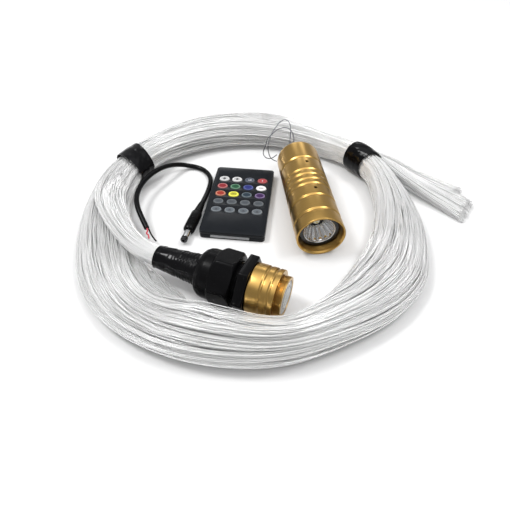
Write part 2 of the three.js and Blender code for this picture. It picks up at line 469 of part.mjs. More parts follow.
// ---------------------------------------------------------------- power lead
{
  const pts = [[-90.6, -31.5, 8], [-96, -22, 10.4], [-100.6, -13, 12.6], [-103.4, -4, 14], [-104.2, 6, 14.6], [-102.6, 17, 14.8], [-98.4, 28, 14.8], [-91.6, 38.6, 14.2], [-84.6, 47.6, 11.4],
    [-77.5, 54.5, 7.4], [-70.5, 57.6, 4.2], [-63, 57.6, 2.6], [-56, 54, 2.2], [-50.4, 47, 2.1], [-47.6, 38.6, 2.1], [-47.6, 29, 2.1], [-48.8, 19, 2.4], [-50.2, 10, 3.4], [-51.2, 3.4, 4.4]];
  add(kit, 'lead_cable', tube(pts, CABLE_R, 46, 8), M.pvc);
  const plug = new THREE.Group();
  plug.position.set(-51.3, 3.0, 4.6);
  plug.rotation.set(0, 0, THREE.MathUtils.degToRad(-102.2));
  kit.add(plug);
  add(plug, 'lead_plug_body', latheX([[0, 0], [0, 2.1], [9, 3.0], [12, 3.4], [13.5, 4.4], [15, PLUG_R - 0.1], [33.4, PLUG_R - 0.1], [34.4, 4.0], [34.4, 0]], 16), M.pvc);
  add(plug, 'plug_barrel', latheX(loop([[34.7, 1.4], [34.7, 2.7], [42.2, 2.7], [42.2, 1.4]]), 16), M.chrome);
  add(plug, 'plug_tip', latheX(loop([[42.5, 1.2], [42.5, 2.75], [45.2, 2.75], [45.8, 2.2], [45.8, 1.2]]), 16), M.black);
  add(kit, 'lead_wire_red', tube([[-90.0, -32.8, 8.2], [-89, -35, 7.2], [-88.2, -37.6, 6], [-87.6, -40, 5]], 0.6, 6), M.red);
  add(kit, 'lead_wire_black', tube([[-89.0, -31.9, 7.4], [-87.6, -34.4, 5.9], [-85.2, -37.8, 4.6], [-82.2, -41.2, 3.4]], 0.6, 7), M.pvc);
}

export default kit;
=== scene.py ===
# Looks of the fibre optic star ceiling kit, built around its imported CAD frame.
import math

import bpy
import numpy as np
from mathutils import Matrix, Vector


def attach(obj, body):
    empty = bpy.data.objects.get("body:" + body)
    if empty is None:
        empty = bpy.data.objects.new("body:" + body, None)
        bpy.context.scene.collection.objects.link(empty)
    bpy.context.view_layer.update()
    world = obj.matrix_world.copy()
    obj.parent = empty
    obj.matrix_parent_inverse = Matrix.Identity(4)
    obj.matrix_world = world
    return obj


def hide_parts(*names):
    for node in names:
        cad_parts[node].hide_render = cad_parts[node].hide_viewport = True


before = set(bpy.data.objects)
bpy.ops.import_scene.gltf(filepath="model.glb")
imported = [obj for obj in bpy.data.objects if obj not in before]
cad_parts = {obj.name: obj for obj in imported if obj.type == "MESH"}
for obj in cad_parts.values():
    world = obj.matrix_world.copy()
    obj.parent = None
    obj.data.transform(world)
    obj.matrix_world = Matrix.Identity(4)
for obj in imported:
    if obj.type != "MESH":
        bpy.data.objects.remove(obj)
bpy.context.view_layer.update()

MM = 0.001
SHIFT = np.array([6.9044, 33.2515, 0.0])
scene = bpy.context.scene


def row(p):
    """Layout millimetres to row frame metres."""
    return (np.asarray(p, float) + SHIFT) * MM


# ------------------------------------------------------------------ camera
CAM = np.array([0.0, -280.0, 246.0])
PITCH, ROLL, FOCAL = 42.75, 0.48, 440.0
CENTRE = (262.7, 221.3)
cam_data = bpy.data.cameras.new("camera")
cam_data.sensor_width = 36.0
cam_data.lens = FOCAL / 510 * 36.0
cam_data.shift_x = -(CENTRE[0] - 255.0) / 510
cam_data.shift_y = (CENTRE[1] - 255.0) / 510
cam_data.clip_start, cam_data.clip_end = 0.01, 20.0
cam = bpy.data.objects.new("camera", cam_data)
scene.collection.objects.link(cam)
cam.matrix_world = (
    Matrix.Translation(Vector(row(CAM)))
    @ Matrix.Rotation(math.radians(90 - PITCH), 4, "X")
    @ Matrix.Rotation(math.radians(ROLL), 4, "Z")
)
scene.camera = cam


# ------------------------------------------------------------------ materials
class Mat:
    """A small node graph around one Principled shader. Texture coordinates are the object's own."""

    def __init__(self, name, base, rough=0.5, metal=0.0, ior=1.5, spec=0.5, coat=0.0, coat_rough=0.1, trans=0.0, sheen=0.0, alpha=1.0):
        self.m = bpy.data.materials.new(name)
        self.m.use_nodes = True
        self.t = self.m.node_tree
        self.t.nodes.clear()
        self.out = self.t.nodes.new("ShaderNodeOutputMaterial")
        self.b = self.t.nodes.new("ShaderNodeBsdfPrincipled")
        self.t.links.new(self.b.outputs[0], self.out.inputs[0])
        i = self.b.inputs
        i["Base Color"].default_value = (*base, 1)
        i["Roughness"].default_value = rough
        i["Metallic"].default_value = metal
        i["IOR"].default_value = ior
        i["Specular IOR Level"].default_value = spec
        i["Coat Weight"].default_value = coat
        i["Coat Roughness"].default_value = coat_rough
        i["Transmission Weight"].default_value = trans
        i["Sheen Weight"].default_value = sheen
        i["Alpha"].default_value = alpha
        self.base, self.rough = base, rough
        self.co = None
        self.last_bump = None

    def node(self, kind, **props):
        n = self.t.nodes.new(kind)
        for k, v in props.items():
            setattr(n, k, v)
        return n

    def coords(self, scale=(1, 1, 1), yaw=0.0, centre=(0, 0, 0)):
        """The object's coordinates, turned so that local X lies along yaw, then scaled."""
        if self.co is None:
            self.co = self.node("ShaderNodeTexCoord")
        first = self.co.outputs["Object"]
        if yaw or any(centre):
            m = self.node("ShaderNodeMapping", vector_type="TEXTURE")
            m.inputs["Location"].default_value = centre
            m.inputs["Rotation"].default_value = (0, 0, math.radians(yaw))
            self.t.links.new(first, m.inputs["Vector"])
            first = m.outputs[0]
        s = self.node("ShaderNodeMapping", vector_type="POINT")
        s.inputs["Scale"].default_value = scale
        self.t.links.new(first, s.inputs["Vector"])
        return s.outputs[0]

    def noise(self, scale, detail=3.0, rough=0.5, co=None, distortion=0.0):
        n = self.node("ShaderNodeTexNoise")
        n.inputs["Scale"].default_value = scale
        n.inputs["Detail"].default_value = detail
        n.inputs["Roughness"].default_value = rough
        n.inputs["Distortion"].default_value = distortion
        self.t.links.new(co if co is not None else self.coords(), n.inputs["Vector"])
        return n.outputs["Fac"]

    def wave(self, scale, co, distortion=0.0, detail=0.0, profile="SIN"):
        n = self.node("ShaderNodeTexWave", wave_type="BANDS", bands_direction="X", wave_profile=profile)
        n.inputs["Scale"].default_value = scale
        n.inputs["Distortion"].default_value = distortion
        n.inputs["Detail"].default_value = detail
        self.t.links.new(co, n.inputs["Vector"])
        return n.outputs["Fac"]

    def ranged(self, fac, lo, hi, f0=0.3, f1=0.7):
        n = self.node("ShaderNodeMapRange")
        n.inputs["From Min"].default_value, n.inputs["From Max"].default_value = f0, f1
        n.inputs["To Min"].default_value, n.inputs["To Max"].default_value = lo, hi
        self.t.links.new(fac, n.inputs["Value"])
        return n.outputs[0]

    def vary(self, fac, dark, light, f0=0.3, f1=0.7):
        """Base colour runs from dark to light with the noise."""
        n = self.node("ShaderNodeValToRGB")
        n.color_ramp.elements[0].position, n.color_ramp.elements[1].position = f0, f1
        n.color_ramp.elements[0].color = (*dark, 1)
        n.color_ramp.elements[1].color = (*light, 1)
        self.t.links.new(fac, n.inputs["Fac"])
        self.t.links.new(n.outputs["Color"], self.b.inputs["Base Color"])
        return self

    def roughen(self, fac, lo, hi, f0=0.3, f1=0.7):
        self.t.links.new(self.ranged(fac, lo, hi, f0, f1), self.b.inputs["Roughness"])
        return self

    def bump(self, fac, strength, distance):
        n = self.node("ShaderNodeBump")
        n.inputs["Strength"].default_value = strength
        n.inputs["Distance"].default_value = distance
        self.t.links.new(fac, n.inputs["Height"])
        if self.last_bump is not None:
            self.t.links.new(self.last_bump, n.inputs["Normal"])
        self.last_bump = n.outputs["Normal"]
        self.t.links.new(self.last_bump, self.b.inputs["Normal"])
        return self


def scaled(c, k):
    return tuple(min(1.0, x * k) for x in c)


def plastic(name, base, rough=0.45, grain=2600, grain_strength=0.25, grain_depth=2e-5, mottling=0.12, spec=0.5, coat=0.0, coat_rough=0.15):
    m = Mat(name, base, rough, spec=spec, coat=coat, coat_rough=coat_rough)
    m.vary(m.noise(90, 4), scaled(base, 1 - mottling), scaled(base, 1 + mottling))
    m.roughen(m.noise(240, 3), rough * 0.88, min(1, rough * 1.15))
    m.bump(m.noise(grain, 2), grain_strength, grain_depth)
    return m


HEAD_YAW, ENG_YAW, REM_YAW = -21.3, 7.0, -5.8
GOLD = (0.49, 0.305, 0.092)


def gold(name, yaw):
    """Turned and gold-anodised aluminium: fine rings round the axis, a satin skin and faint handling marks."""
    m = Mat(name, GOLD, 0.35, metal=1.0)
    rings = m.noise(1.0, 2, co=m.coords((1400, 3, 3), yaw))
    broad = m.noise(1.0, 2, co=m.coords((90, 60, 60), yaw))
    m.vary(rings, scaled(GOLD, 0.97), scaled(GOLD, 1.03))
    m.roughen(broad, 0.275, 0.295)
    m.bump(m.noise(2600, 2), 0.04, 6e-6)
    return m


mat_gold_engine = gold("gold_engine", ENG_YAW - 90)
mat_gold_head = gold("gold_head", HEAD_YAW)
mat_nylon = plastic("black_nylon", (0.004, 0.004, 0.0044), 0.24, grain=1900, grain_strength=0.2, grain_depth=1.5e-5, mottling=0.2, spec=0.06)
mat_rubber = plastic("black_rubber", (0.014, 0.014, 0.014), 0.65, grain=1500, grain_depth=4e-5)
mat_gloss_black = plastic("black_gloss_plastic", (0.008, 0.008, 0.009), 0.22, grain=900, grain_strength=0.08)
mat_tape = plastic("black_tape", (0.003, 0.003, 0.0036), 0.15, grain=260, grain_strength=0.08, grain_depth=8e-5, mottling=0.2, spec=0.13)
mat_pvc = plastic("black_pvc", (0.004, 0.004, 0.0044), 0.24, grain=1400, grain_strength=0.12, spec=0.1)
mat_case = plastic("remote_case", (0.0075, 0.009, 0.0115), 0.22, grain=3200, grain_strength=0.15, grain_depth=8e-6, mottling=0.1, spec=0.14)
mat_tray = plastic("tray_plastic", (0.32, 0.33, 0.34), 0.28, grain=1800, grain_strength=0.1)
mat_board = plastic("circuit_board", (0.03, 0.12, 0.05), 0.4, grain=700, grain_depth=6e-5, mottling=0.3)
mat_red = plastic("red_insulation", (0.55, 0.03, 0.06), 0.35)
mat_wire = plastic("thin_wire", (0.07, 0.07, 0.085), 0.3, grain=900, grain_strength=0.1, spec=0.3)

mat_chrome = Mat("chrome", (0.66, 0.665, 0.67), 0.05, metal=1.0)
mat_chrome.roughen(mat_chrome.noise(300, 3), 0.03, 0.07)
mat_plug_chrome = Mat("plug_chrome", (0.7, 0.71, 0.72), 0.14, metal=1.0)
mat_plug_chrome.roughen(mat_plug_chrome.noise(700, 3), 0.1, 0.22)
mat_steel = Mat("steel", (0.42, 0.43, 0.44), 0.28, metal=1.0)
mat_steel.roughen(mat_steel.noise(900, 3), 0.2, 0.4)
# Set screw steel painted near-black: painted shade standing in for the shadow down in the screw holes.
mat_screw_painted_shade = Mat("black_oxide_steel", (0.03, 0.03, 0.032), 0.4, metal=1.0)
mat_screw_painted_shade.vary(mat_screw_painted_shade.noise(1500, 3), (0.02, 0.02, 0.022), (0.045, 0.044, 0.044))
mat_screw_painted_shade.roughen(mat_screw_painted_shade.noise(900, 3), 0.32, 0.5)
mat_alu = Mat("bare_aluminium", (0.66, 0.67, 0.68), 0.35, metal=1.0)
mat_alu.roughen(mat_alu.noise(1.0, 3, co=mat_alu.coords((1800, 60, 60), ENG_YAW - 90)), 0.25, 0.45)
mat_brass = Mat("contact_brass", (0.7, 0.5, 0.2), 0.25, metal=1.0)
mat_brass.roughen(mat_brass.noise(900, 3), 0.18, 0.35)
mat_resin = Mat("resin", (0.27, 0.26, 0.22), 0.16, spec=0.6)
mat_resin.vary(mat_resin.noise(700, 3), (0.21, 0.2, 0.17), (0.34, 0.33, 0.29))
mat_led = Mat("led_lens", (0.93, 0.9, 0.66), 0.12)
mat_led.vary(mat_led.noise(500, 2), (0.95, 0.9, 0.62), (0.96, 0.95, 0.84))
mat_led_die = Mat("led_die", (0.75, 0.62, 0.1), 0.4)
mat_led_die.vary(mat_led_die.noise(900, 2), (0.7, 0.55, 0.07), (0.85, 0.74, 0.2))


def fibre(name, base, rough, clear=0.7):
    """Clear plastic strand: see-through body, glossy skin, faint streaks along it."""
    m = Mat(name, base, rough, ior=1.49, spec=0.5, trans=clear)
    m.roughen(m.noise(260, 2), rough * 0.8, rough * 1.3)
    return m


FIBRE_TONES = [
    fibre("fibre_a", (0.988, 0.99, 0.984), 0.12),
    fibre("fibre_b", (0.984, 0.987, 0.98), 0.16),
    fibre("fibre_c", (0.99, 0.992, 0.988), 0.1),
    fibre("fibre_d", (0.978, 0.982, 0.973), 0.14),
]
mat_fibre_end = Mat("fibre_end", (0.5, 0.51, 0.48), 0.12, spec=0.7)
mat_fibre_end.vary(mat_fibre_end.noise(1500, 1), (0.33, 0.34, 0.31), (0.68, 0.69, 0.66))

# Each key: its own colour, then a lighter, paler copy of it for the rounded top edge; that lighter edge colour is a
# painted highlight.
KEY_COLOURS = {
    "white": ((0.66, 0.66, 0.66), (0.8, 0.8, 0.8)),
    "pale": ((0.42, 0.42, 0.42), (0.6, 0.6, 0.6)),
    "slate": ((0.05, 0.06, 0.085), (0.1, 0.11, 0.135)),
    "red": ((0.34, 0.035, 0.042), (0.32, 0.09, 0.09)),
    "red2": ((0.2, 0.011, 0.016), (0.44, 0.16, 0.16)),
    "green": ((0.006, 0.062, 0.024), (0.13, 0.25, 0.165)),
    "blue": ((0.013, 0.019, 0.14), (0.08, 0.1, 0.27)),
    "orange": ((0.26, 0.022, 0.011), (0.5, 0.21, 0.14)),
    "yellow": ((0.42, 0.4, 0.03), (0.85, 0.82, 0.11)),
    "teal": ((0.011, 0.024, 0.038), (0.12, 0.15, 0.17)),
    "purple": ((0.038, 0.011, 0.07), (0.19, 0.14, 0.26)),
    "grey": ((0.06, 0.07, 0.08), (0.11, 0.12, 0.13)),
    "grey2": ((0.09, 0.105, 0.12), (0.155, 0.17, 0.185)),
}
KEY_MATS = {
    k: (plastic("key_" + k, a, 0.4, grain=1800, mottling=0.06, spec=0.2), plastic("key_" + k + "_rim", b, 0.34, grain=1800, mottling=0.06, spec=0.2))
    for k, (a, b) in KEY_COLOURS.items()
}
mat_mark_dark = plastic("mark_dark", (0.02, 0.02, 0.025), 0.5)
mat_mark_pale = plastic("mark_pale", (0.62, 0.63, 0.64), 0.5)


# ------------------------------------------------------------------ mesh tools
def mesh_object(name, verts, faces, mats, index=None, smooth=True, sharp=35.0):
    me = bpy.data.meshes.new(name)
    me.from_pydata([tuple(map(float, v)) for v in verts], [], faces)
    me.validate()
    for m in mats if isinstance(mats, (list, tuple)) else [mats]:
        me.materials.append(m.m if isinstance(m, Mat) else m)
    if index is not None:
        me.polygons.foreach_set("material_index", np.asarray(index, np.int32))
    if smooth:
        me.polygons.foreach_set("use_smooth", np.ones(len(me.polygons), bool))
        if sharp is not None:
            me.set_sharp_from_angle(angle=math.radians(sharp))
    me.update()
    o = bpy.data.objects.new(name, me)
    scene.collection.objects.link(o)
    return o


def axis_frame(origin_mm, yaw_deg):
    """Local millimetres with X along yaw to row metres."""
    c, s = math.cos(math.radians(yaw_deg)), math.sin(math.radians(yaw_deg))
    r = np.array([[c, -s, 0], [s, c, 0], [0, 0, 1]])
    o = np.asarray(origin_mm, float)
    return lambda p: row(np.asarray(p, float) @ r.T + o)


HEAD_P = (-6.1, -98.4, 20.0)
ENG_P = (36.8, 1.0, 18.5)
REM_P = (-20.0, 7.0, 0.0)
head_at = axis_frame(HEAD_P, HEAD_YAW)
eng_at = axis_frame(ENG_P, ENG_YAW - 90)
rem_at = axis_frame(REM_P, REM_YAW)


def ring_solid(name, rows, at, mats, seg=96, index_of=None, sharp=35.0, closed=True, offset=(0.0, 0.0)):
    """A solid round local X. rows are [s, r] or [s, function of angle]; the last row joins the first. A row of r = 0 is a point on the axis."""
    t = 2 * math.pi * (np.arange(seg) + 0.5) / seg
    verts, starts = [], []
    for s, r in rows:
        rad = r(t) if callable(r) else np.full(seg, float(r))
        ss = s(t) if callable(s) else np.full(seg, float(s))
        starts.append(len(verts))
        if not callable(r) and r < 1e-6:
            verts.append((float(ss[0]), offset[0], offset[1]))
        else:
            verts += list(zip(ss, offset[0] + rad * np.cos(t), offset[1] + rad * np.sin(t)))
    faces, index = [], []
    n = len(rows)
    for i in range(n if closed else n - 1):
        j = (i + 1) % n
        a, b = starts[i], starts[j]
        pa = not callable(rows[i][1]) and rows[i][1] < 1e-6
        pb = not callable(rows[j][1]) and rows[j][1] < 1e-6
        if pa and pb:
            continue
        for k in range(seg):
            q = (k + 1) % seg
            if pa:
                f = (a, b + k, b + q)
            elif pb:
                f = (a + k, b, a + q)
            else:
                f = (a + k, b + k, b + q, a + q)
            faces.append(f)
            index.append(index_of(i) if index_of else 0)
    o = mesh_object(name, at(np.array(verts)), faces, mats, index, sharp=sharp)
    fix_normals(o)
    return o


def fix_normals(o):
    """Turns the mesh's faces outward by its signed volume."""
    me = o.data
    me.calc_loop_triangles()
    co = np.zeros(len(me.vertices) * 3)
    me.vertices.foreach_get("co", co)
    co = co.reshape(-1, 3)
    co = co - co.mean(0)
    tri = np.zeros(len(me.loop_triangles) * 3, np.int32)
    me.loop_triangles.foreach_get("vertices", tri)
    a, b, c = (co[tri.reshape(-1, 3)[:, k]] for k in range(3))
    if (a * np.cross(b, c)).sum() < 0:
        me.flip_normals()


def fillet(points, radius, n=4):
    """Rounds the corners of an open list of [s, r] points. radius is one number or one for each point."""
    p = [np.array(q, float) for q in points]
    rr = [radius] * len(p) if np.isscalar(radius) else list(radius)
    out = [p[0]]
    for i in range(1, len(p) - 1):
        a, b, c = p[i - 1], p[i], p[i + 1]
        u, v = a - b, c - b
        lu, lv = np.linalg.norm(u), np.linalg.norm(v)
        if lu < 1e-9 or lv < 1e-9 or rr[i] <= 0:
            out.append(b)
            continue
        u, v = u / lu, v / lv
        ang = math.acos(max(-1, min(1, float(u @ v))))
        if ang > math.pi - 0.05:
            out.append(b)
            continue
        cut = min(rr[i] / math.tan(ang / 2), 0.45 * lu, 0.45 * lv)
        s0, s1 = b + u * cut, b + v * cut
        for k in range(n + 1):
            w = k / n
            out.append((1 - w) ** 2 * s0 + 2 * w * (1 - w) * b + w * w * s1)
    out.append(p[-1])
    return [[float(q[0]), float(q[1])] for q in out]


def joined(name, parts):
    """Joins mesh objects into the first one."""
    bpy.ops.object.select_all(action="DESELECT")
    for p in parts:
        p.select_set(True)
    bpy.context.view_layer.objects.active = parts[0]
    bpy.ops.object.join()
    parts[0].name = name
    return parts[0]


def apply_modifiers(o):
    dg = bpy.context.evaluated_depsgraph_get()
    me = bpy.data.meshes.new_from_object(o.evaluated_get(dg), depsgraph=dg)
    o.modifiers.clear()
    o.data = me
    return o


def cut_with(o, cutters):
    for c in cutters:
        m = o.modifiers.new("cut", "BOOLEAN")
        m.operation, m.object, m.solver = "DIFFERENCE", c, "EXACT"
    apply_modifiers(o)
    for c in cutters:
        bpy.data.objects.remove(c)
    o.data.polygons.foreach_set("use_smooth", np.ones(len(o.data.polygons), bool))
    o.data.set_sharp_from_angle(angle=math.radians(30))
    return o


def bevelled(o, width_mm, segments=3, angle=30.0):
    m = o.modifiers.new("bevel", "BEVEL")
    m.width, m.segments, m.limit_method, m.angle_limit = width_mm * MM, segments, "ANGLE", math.radians(angle)
    m.harden_normals = False
    apply_modifiers(o)
    o.data.polygons.foreach_set("use_smooth", np.ones(len(o.data.polygons), bool))
    o.data.set_sharp_from_angle(angle=math.radians(40))
    return o


def catmull(points, per=8):
    """Smooth line through points, centripetal enough for these routes."""
    p = np.array(points, float)
    q = np.vstack([2 * p[0] - p[1], p, 2 * p[-1] - p[-2]])
    out = []
    for i in range(1, len(q) - 2):
        p0, p1, p2, p3 = q[i - 1 : i + 3]
        t = [0.0]
        for a, b in ((p0, p1), (p1, p2), (p2, p3)):
            t.append(t[-1] + max(1e-6, np.linalg.norm(b - a)) ** 0.5)
        for k in range(per):
            x = t[1] + (t[2] - t[1]) * k / per
            a1 = (t[1] - x) / (t[1] - t[0]) * p0 + (x - t[0]) / (t[1] - t[0]) * p1
            a2 = (t[2] - x) / (t[2] - t[1]) * p1 + (x - t[1]) / (t[2] - t[1]) * p2
            a3 = (t[3] - x) / (t[3] - t[2]) * p2 + (x - t[2]) / (t[3] - t[2]) * p3
            b1 = (t[2] - x) / (t[2] - t[0]) * a1 + (x - t[0]) / (t[2] - t[0]) * a2
            b2 = (t[3] - x) / (t[3] - t[1]) * a2 + (x - t[1]) / (t[3] - t[1]) * a3
            out.append((t[2] - x) / (t[2] - t[1]) * b1 + (x - t[1]) / (t[2] - t[1]) * b2)
    out.append(p[-1])
    return np.array(out)


def curve_piece(name, line_mm, radius_mm, mat, sides=4):
    cu = bpy.data.curves.new(name, "CURVE")
    cu.dimensions = "3D"
    sp = cu.splines.new("POLY")
    pts = row(line_mm)
    sp.points.add(len(pts) - 1)
    sp.points.foreach_set("co", np.hstack([pts, np.ones((len(pts), 1))]).ravel())
    sp.use_smooth = True
    cu.bevel_depth, cu.bevel_resolution, cu.use_fill_caps = radius_mm * MM, sides, True
    cu.materials.append(mat.m)
    o = bpy.data.objects.new(name, cu)
    scene.collection.objects.link(o)
    return o


# ------------------------------------------------------------------ fibre strands
COIL_C = np.array([0.0, -6.0])
COIL = np.array([
    [0, 91, 125, 22], [12, 94, 121.5, 24], [22, 97, 120, 26], [34, 97.5, 119, 28], [46, 96.5, 116, 27],
    [59, 95, 120, 25], [75, 94, 128, 25], [90, 95.5, 136, 25], [105, 98.5, 139.5, 25], [120, 103, 142, 25],
    [135, 108, 143.5, 24], [150, 110.5, 144.5, 24], [162, 111, 146, 24], [176, 109.5, 146, 23],
    [190, 106.5, 146, 22], [200, 104.5, 147.5, 22], [210, 104.5, 150, 21], [220, 107.5, 151.5, 21],
    [230, 110, 151.5, 22], [240, 110.5, 150, 24], [250, 112.5, 148, 27], [260, 116, 145.5, 29],
    [270, 119.5, 143.5, 30], [278, 119.5, 141.5, 30], [286, 112, 139.5, 28], [294, 104, 138.5, 26],
    [303, 97.5, 139, 24], [312, 92.5, 140, 22], [325, 89.5, 139.5, 20], [338, 88.5, 134, 20], [350, 88.5, 129, 21],
], float)
TAPE_L = {"a": 154.5, "half": 4.6, "skew": 0.17}
TAPE_R = {"a": 33.5, "half": 5.6, "skew": 0.12}


def coil_at(deg):
    """Inner radius, outer radius and height of the coil at angles in degrees."""
    a = np.mod(np.asarray(deg, float), 360.0)
    n = len(COIL)
    ext = np.vstack([COIL[-2:] - [360, 0, 0, 0], COIL, COIL[:3] + [360, 0, 0, 0]])
    i = np.clip(np.searchsorted(COIL[:, 0], a, side="right") - 1, 0, n - 1) + 2
    p0, p1, p2, p3 = ext[i - 1], ext[i], ext[i + 1], ext[i + 2]
    h = (p2[..., 0] - p1[..., 0])[..., None]
    t = ((a - p1[..., 0]) / (p2[..., 0] - p1[..., 0]))[..., None]
    m1 = (p2 - p0)[..., 1:] / (p2 - p0)[..., :1] * h
    m2 = (p3 - p1)[..., 1:] / (p3 - p1)[..., :1] * h
    return (2 * t**3 - 3 * t**2 + 1) * p1[..., 1:] + (t**3 - 2 * t**2 + t) * m1 + (-2 * t**3 + 3 * t**2) * p2[..., 1:] + (t**3 - t**2) * m2


def smooth01(x):
    x = np.clip(x, 0, 1)
    return x * x * (3 - 2 * x)


def tape_lift(deg):
    lift = 0.0
    for T in (TAPE_L, TAPE_R):
        d = np.abs(np.mod(np.asarray(deg, float) - T["a"] + 180, 360) - 180)
        lift = np.maximum(lift, 1.8 * smooth01((20 - d) / 8))
    return lift


def near_tape(deg):
    """1 at a tape band, falling to 0 some way from it."""
    w = 0.0
    for T, wide in ((TAPE_L, 26.0), (TAPE_R, 26.0)):
        d = np.abs(np.mod(np.asarray(deg, float) - T["a"] + 180, 360) - 180)
        w = np.maximum(w, smooth01((wide - d) / (wide - 6)))
    return w


def section(deg, u, v):
    """A place in the unit disc at an angle of the coil, as layout millimetres. The pile is flat underneath, and its outer edge is sparse at the lower left."""
    ri, ro, h = np.moveaxis(coil_at(deg), -1, 0)
    lift = tape_lift(deg)
    a = np.mod(np.asarray(deg, float), 360.0)
    low = np.clip(-v, 0, 0.985)
    wide = (1 - low**4) ** 0.25 / np.sqrt(1 - low**2)
    wide = 1 + (wide - 1) * (1 - near_tape(deg) * 0.8)
    # beside the head the pile's inner side stands upright
    high = np.clip(np.abs(v), 0, 0.96)
    wall = smooth01(1.6 * (1 - np.abs(a - 268) / 36)) * (u < 0)
    wide = np.maximum(wide, 1 + ((1 - high**6) ** (1 / 6) / np.sqrt(1 - high**2) - 1) * wall)
    # at the back the pile has a square shoulder
    shoulder = smooth01(1.5 * (1 - np.abs(a - 108) / 60)) * (u > 0) * (v > 0)
    high = np.clip(np.abs(v), 0, 0.985)
    wide = np.maximum(wide, 1 + ((1 - high**5) ** 0.2 / np.sqrt(1 - high**2) - 1) * shoulder)
    U = np.clip(u * wide, -1, 1)
    s = 0.15 * smooth01(1 - np.abs(a - 215) / 35)
    U = np.where(U > -0.2, (U + 0.2) * (1 - s) / 1.2 * 1.2 + s * 1.2 * ((U + 0.2) / 1.2) ** 3 - 0.2, U)
    r = (ri + ro) / 2 + ((ro - ri) / 2 - 0.5) * U
    top = h - 0.5 - 0.35 * (h - 1) * s * np.clip(U, 0, 1) ** 2
    z = 0.55 + lift + (top - 0.55 - lift) * (0.5 + 0.5 * v)
    # the pile leans over the head's lower side
    amount = np.interp(a, [236, 250, 262, 272, 284, 298, 306], [0, 5.5, 6.5, 4.2, 3.0, 1.5, 0])
    lean = amount * np.clip((z - 10) / 18, 0, 1) ** 1.3 * np.clip((1 - U) / 2, 0, 1)
    r = r - lean
    # and some of it is tucked in under the wrap
    tuck = np.interp(a, [212, 224, 238, 246, 252], [0, 12, 12, 6, 0])
    r = r - tuck * np.clip((10.5 - z) / 8, 0, 1) ** 0.7 * np.clip((0.35 - U) / 1.35, 0, 1)
    t = np.radians(deg)
    return np.stack([COIL_C[0] + r * np.cos(t), COIL_C[1] + r * np.sin(t), z], axis=-1)


GROUPS, STRANDS = 32, 300
STRAND_R = 0.375
START, TRAVEL = -139.0, 908.0
rng = np.random.default_rng(20)


def packed_places(n, spacing):
    """n places on a hexagonal grid nearest the axis."""
    pts = []
    for i in range(-14, 15):
        for j in range(-14, 15):
            pts.append((spacing * (i + 0.5 * (j % 2)), spacing * 0.866 * j))
    pts = np.array(sorted(pts, key=lambda q: (round(q[0] ** 2 + q[1] ** 2, 4), math.atan2(q[1], q[0]))))
    return pts[:n]


def grouped(pts, groups):
    """Splits places into compact groups by halving across the longer side."""
    lots = [np.arange(len(pts))]
    while len(lots) < groups:
        halves = []
        for lot in lots:
            span = np.ptp(pts[lot], axis=0)
            order = lot[np.argsort(pts[lot, int(span[1] > span[0])], kind="stable")]
            halves += [order[: len(order) // 2], order[len(order) // 2 :]]
        lots = halves
    return lots


def wander(phi, waves, amount):
    """Smooth random walk along the travel, two numbers for each angle."""
    out = np.zeros((len(phi), 2))
    power = 0.0
    for lam, amp in waves:
        for k in range(2):
            out[:, k] += amp * np.cos(2 * math.pi * phi / (lam * rng.uniform(0.85, 1.15)) + rng.uniform(0, 2 * math.pi))
        power += amp * amp / 2
    return out * amount / math.sqrt(power)


def to_disc(g):
    size = np.linalg.norm(g, axis=-1, keepdims=True)
    return g / np.maximum(size, 1e-9) * np.sqrt(1 - np.exp(-(size**2) / 2))


def gaussian_smooth(line, sigma_mm, step_mm, weight):
    """Blurs a line of evenly spaced points, by weight at each."""
    half = int(3 * sigma_mm / step_mm)
    k = np.exp(-0.5 * (np.arange(-half, half + 1) * step_mm / sigma_mm) ** 2)
    k /= k.sum()
    pad = np.concatenate([2 * line[:1] - line[half:0:-1], line, 2 * line[-1:] - line[-2 : -half - 2 : -1]])
    blurred = np.stack([np.convolve(pad[:, c], k, "valid") for c in range(3)], axis=1)
    return line + (blurred - line) * weight[:, None]


def resampled(line, step=None, count=None):
    along = np.concatenate([[0], np.cumsum(np.linalg.norm(np.diff(line, axis=0), axis=1))])
    n = count or max(2, int(round(along[-1] / step)) + 1)
    at = np.linspace(0, along[-1], n)
    return np.stack([np.interp(at, along, line[:, c]) for c in range(3)], axis=1)


FAN = [[108.5, 48.5, 18.5, 5.5, 6.5], [120, 38.5, 14, 8.5, 5.5], [135, 29.5, 9.5, 11, 4.5], [150, 19.5, 6.5, 14.5, 3.5], [166, 8.5, 4.2, 18.5, 2.6], [176, 1.5, 2.8, 21, 1.9]]


def fan_at(t, xi, zeta):
    """The loose ends' fan: t from 0 at the tape to 1 at the tips, xi across it and zeta through its height."""
    f = np.array(FAN, float)
    along = np.concatenate([[0], np.cumsum(np.hypot(*np.diff(f[:, :2], axis=0).T))])
    at = np.asarray(t) * along[-1]
    c = [np.interp(at, along, f[:, k]) for k in range(5)]
    d = np.stack([np.gradient(c[0]), np.gradient(c[1])])
    d = d / np.hypot(*d)
    return np.stack([c[0] - d[1] * c[3] * xi, c[1] + d[0] * c[3] * xi, np.maximum(0.6, c[2] + c[4] * zeta)], axis=1)


# the strands' route from the wrap over the coil: travel (deg), radius, height, half width, half height
LEAD = [[-1.7, 98.5, 20, 7.1, 7.1], [2.8, 102.6, 20.2, 7.0, 6.9], [11, 107.2, 20.6, 6.8, 6.2], [18, 110.5, 20.8, 7.4, 5.8], [24, 113, 20.8, 8.2, 5.4],
        [31, 117, 20.4, 9.6, 5.2], [37, 121, 19.8, 11, 5.2], [43, 124.5, 19, 12.2, 5.4], [60, 127, 17, 14, 6], [80, 126, 16, 14, 6.5], [120, 121, 15, 14, 7]]


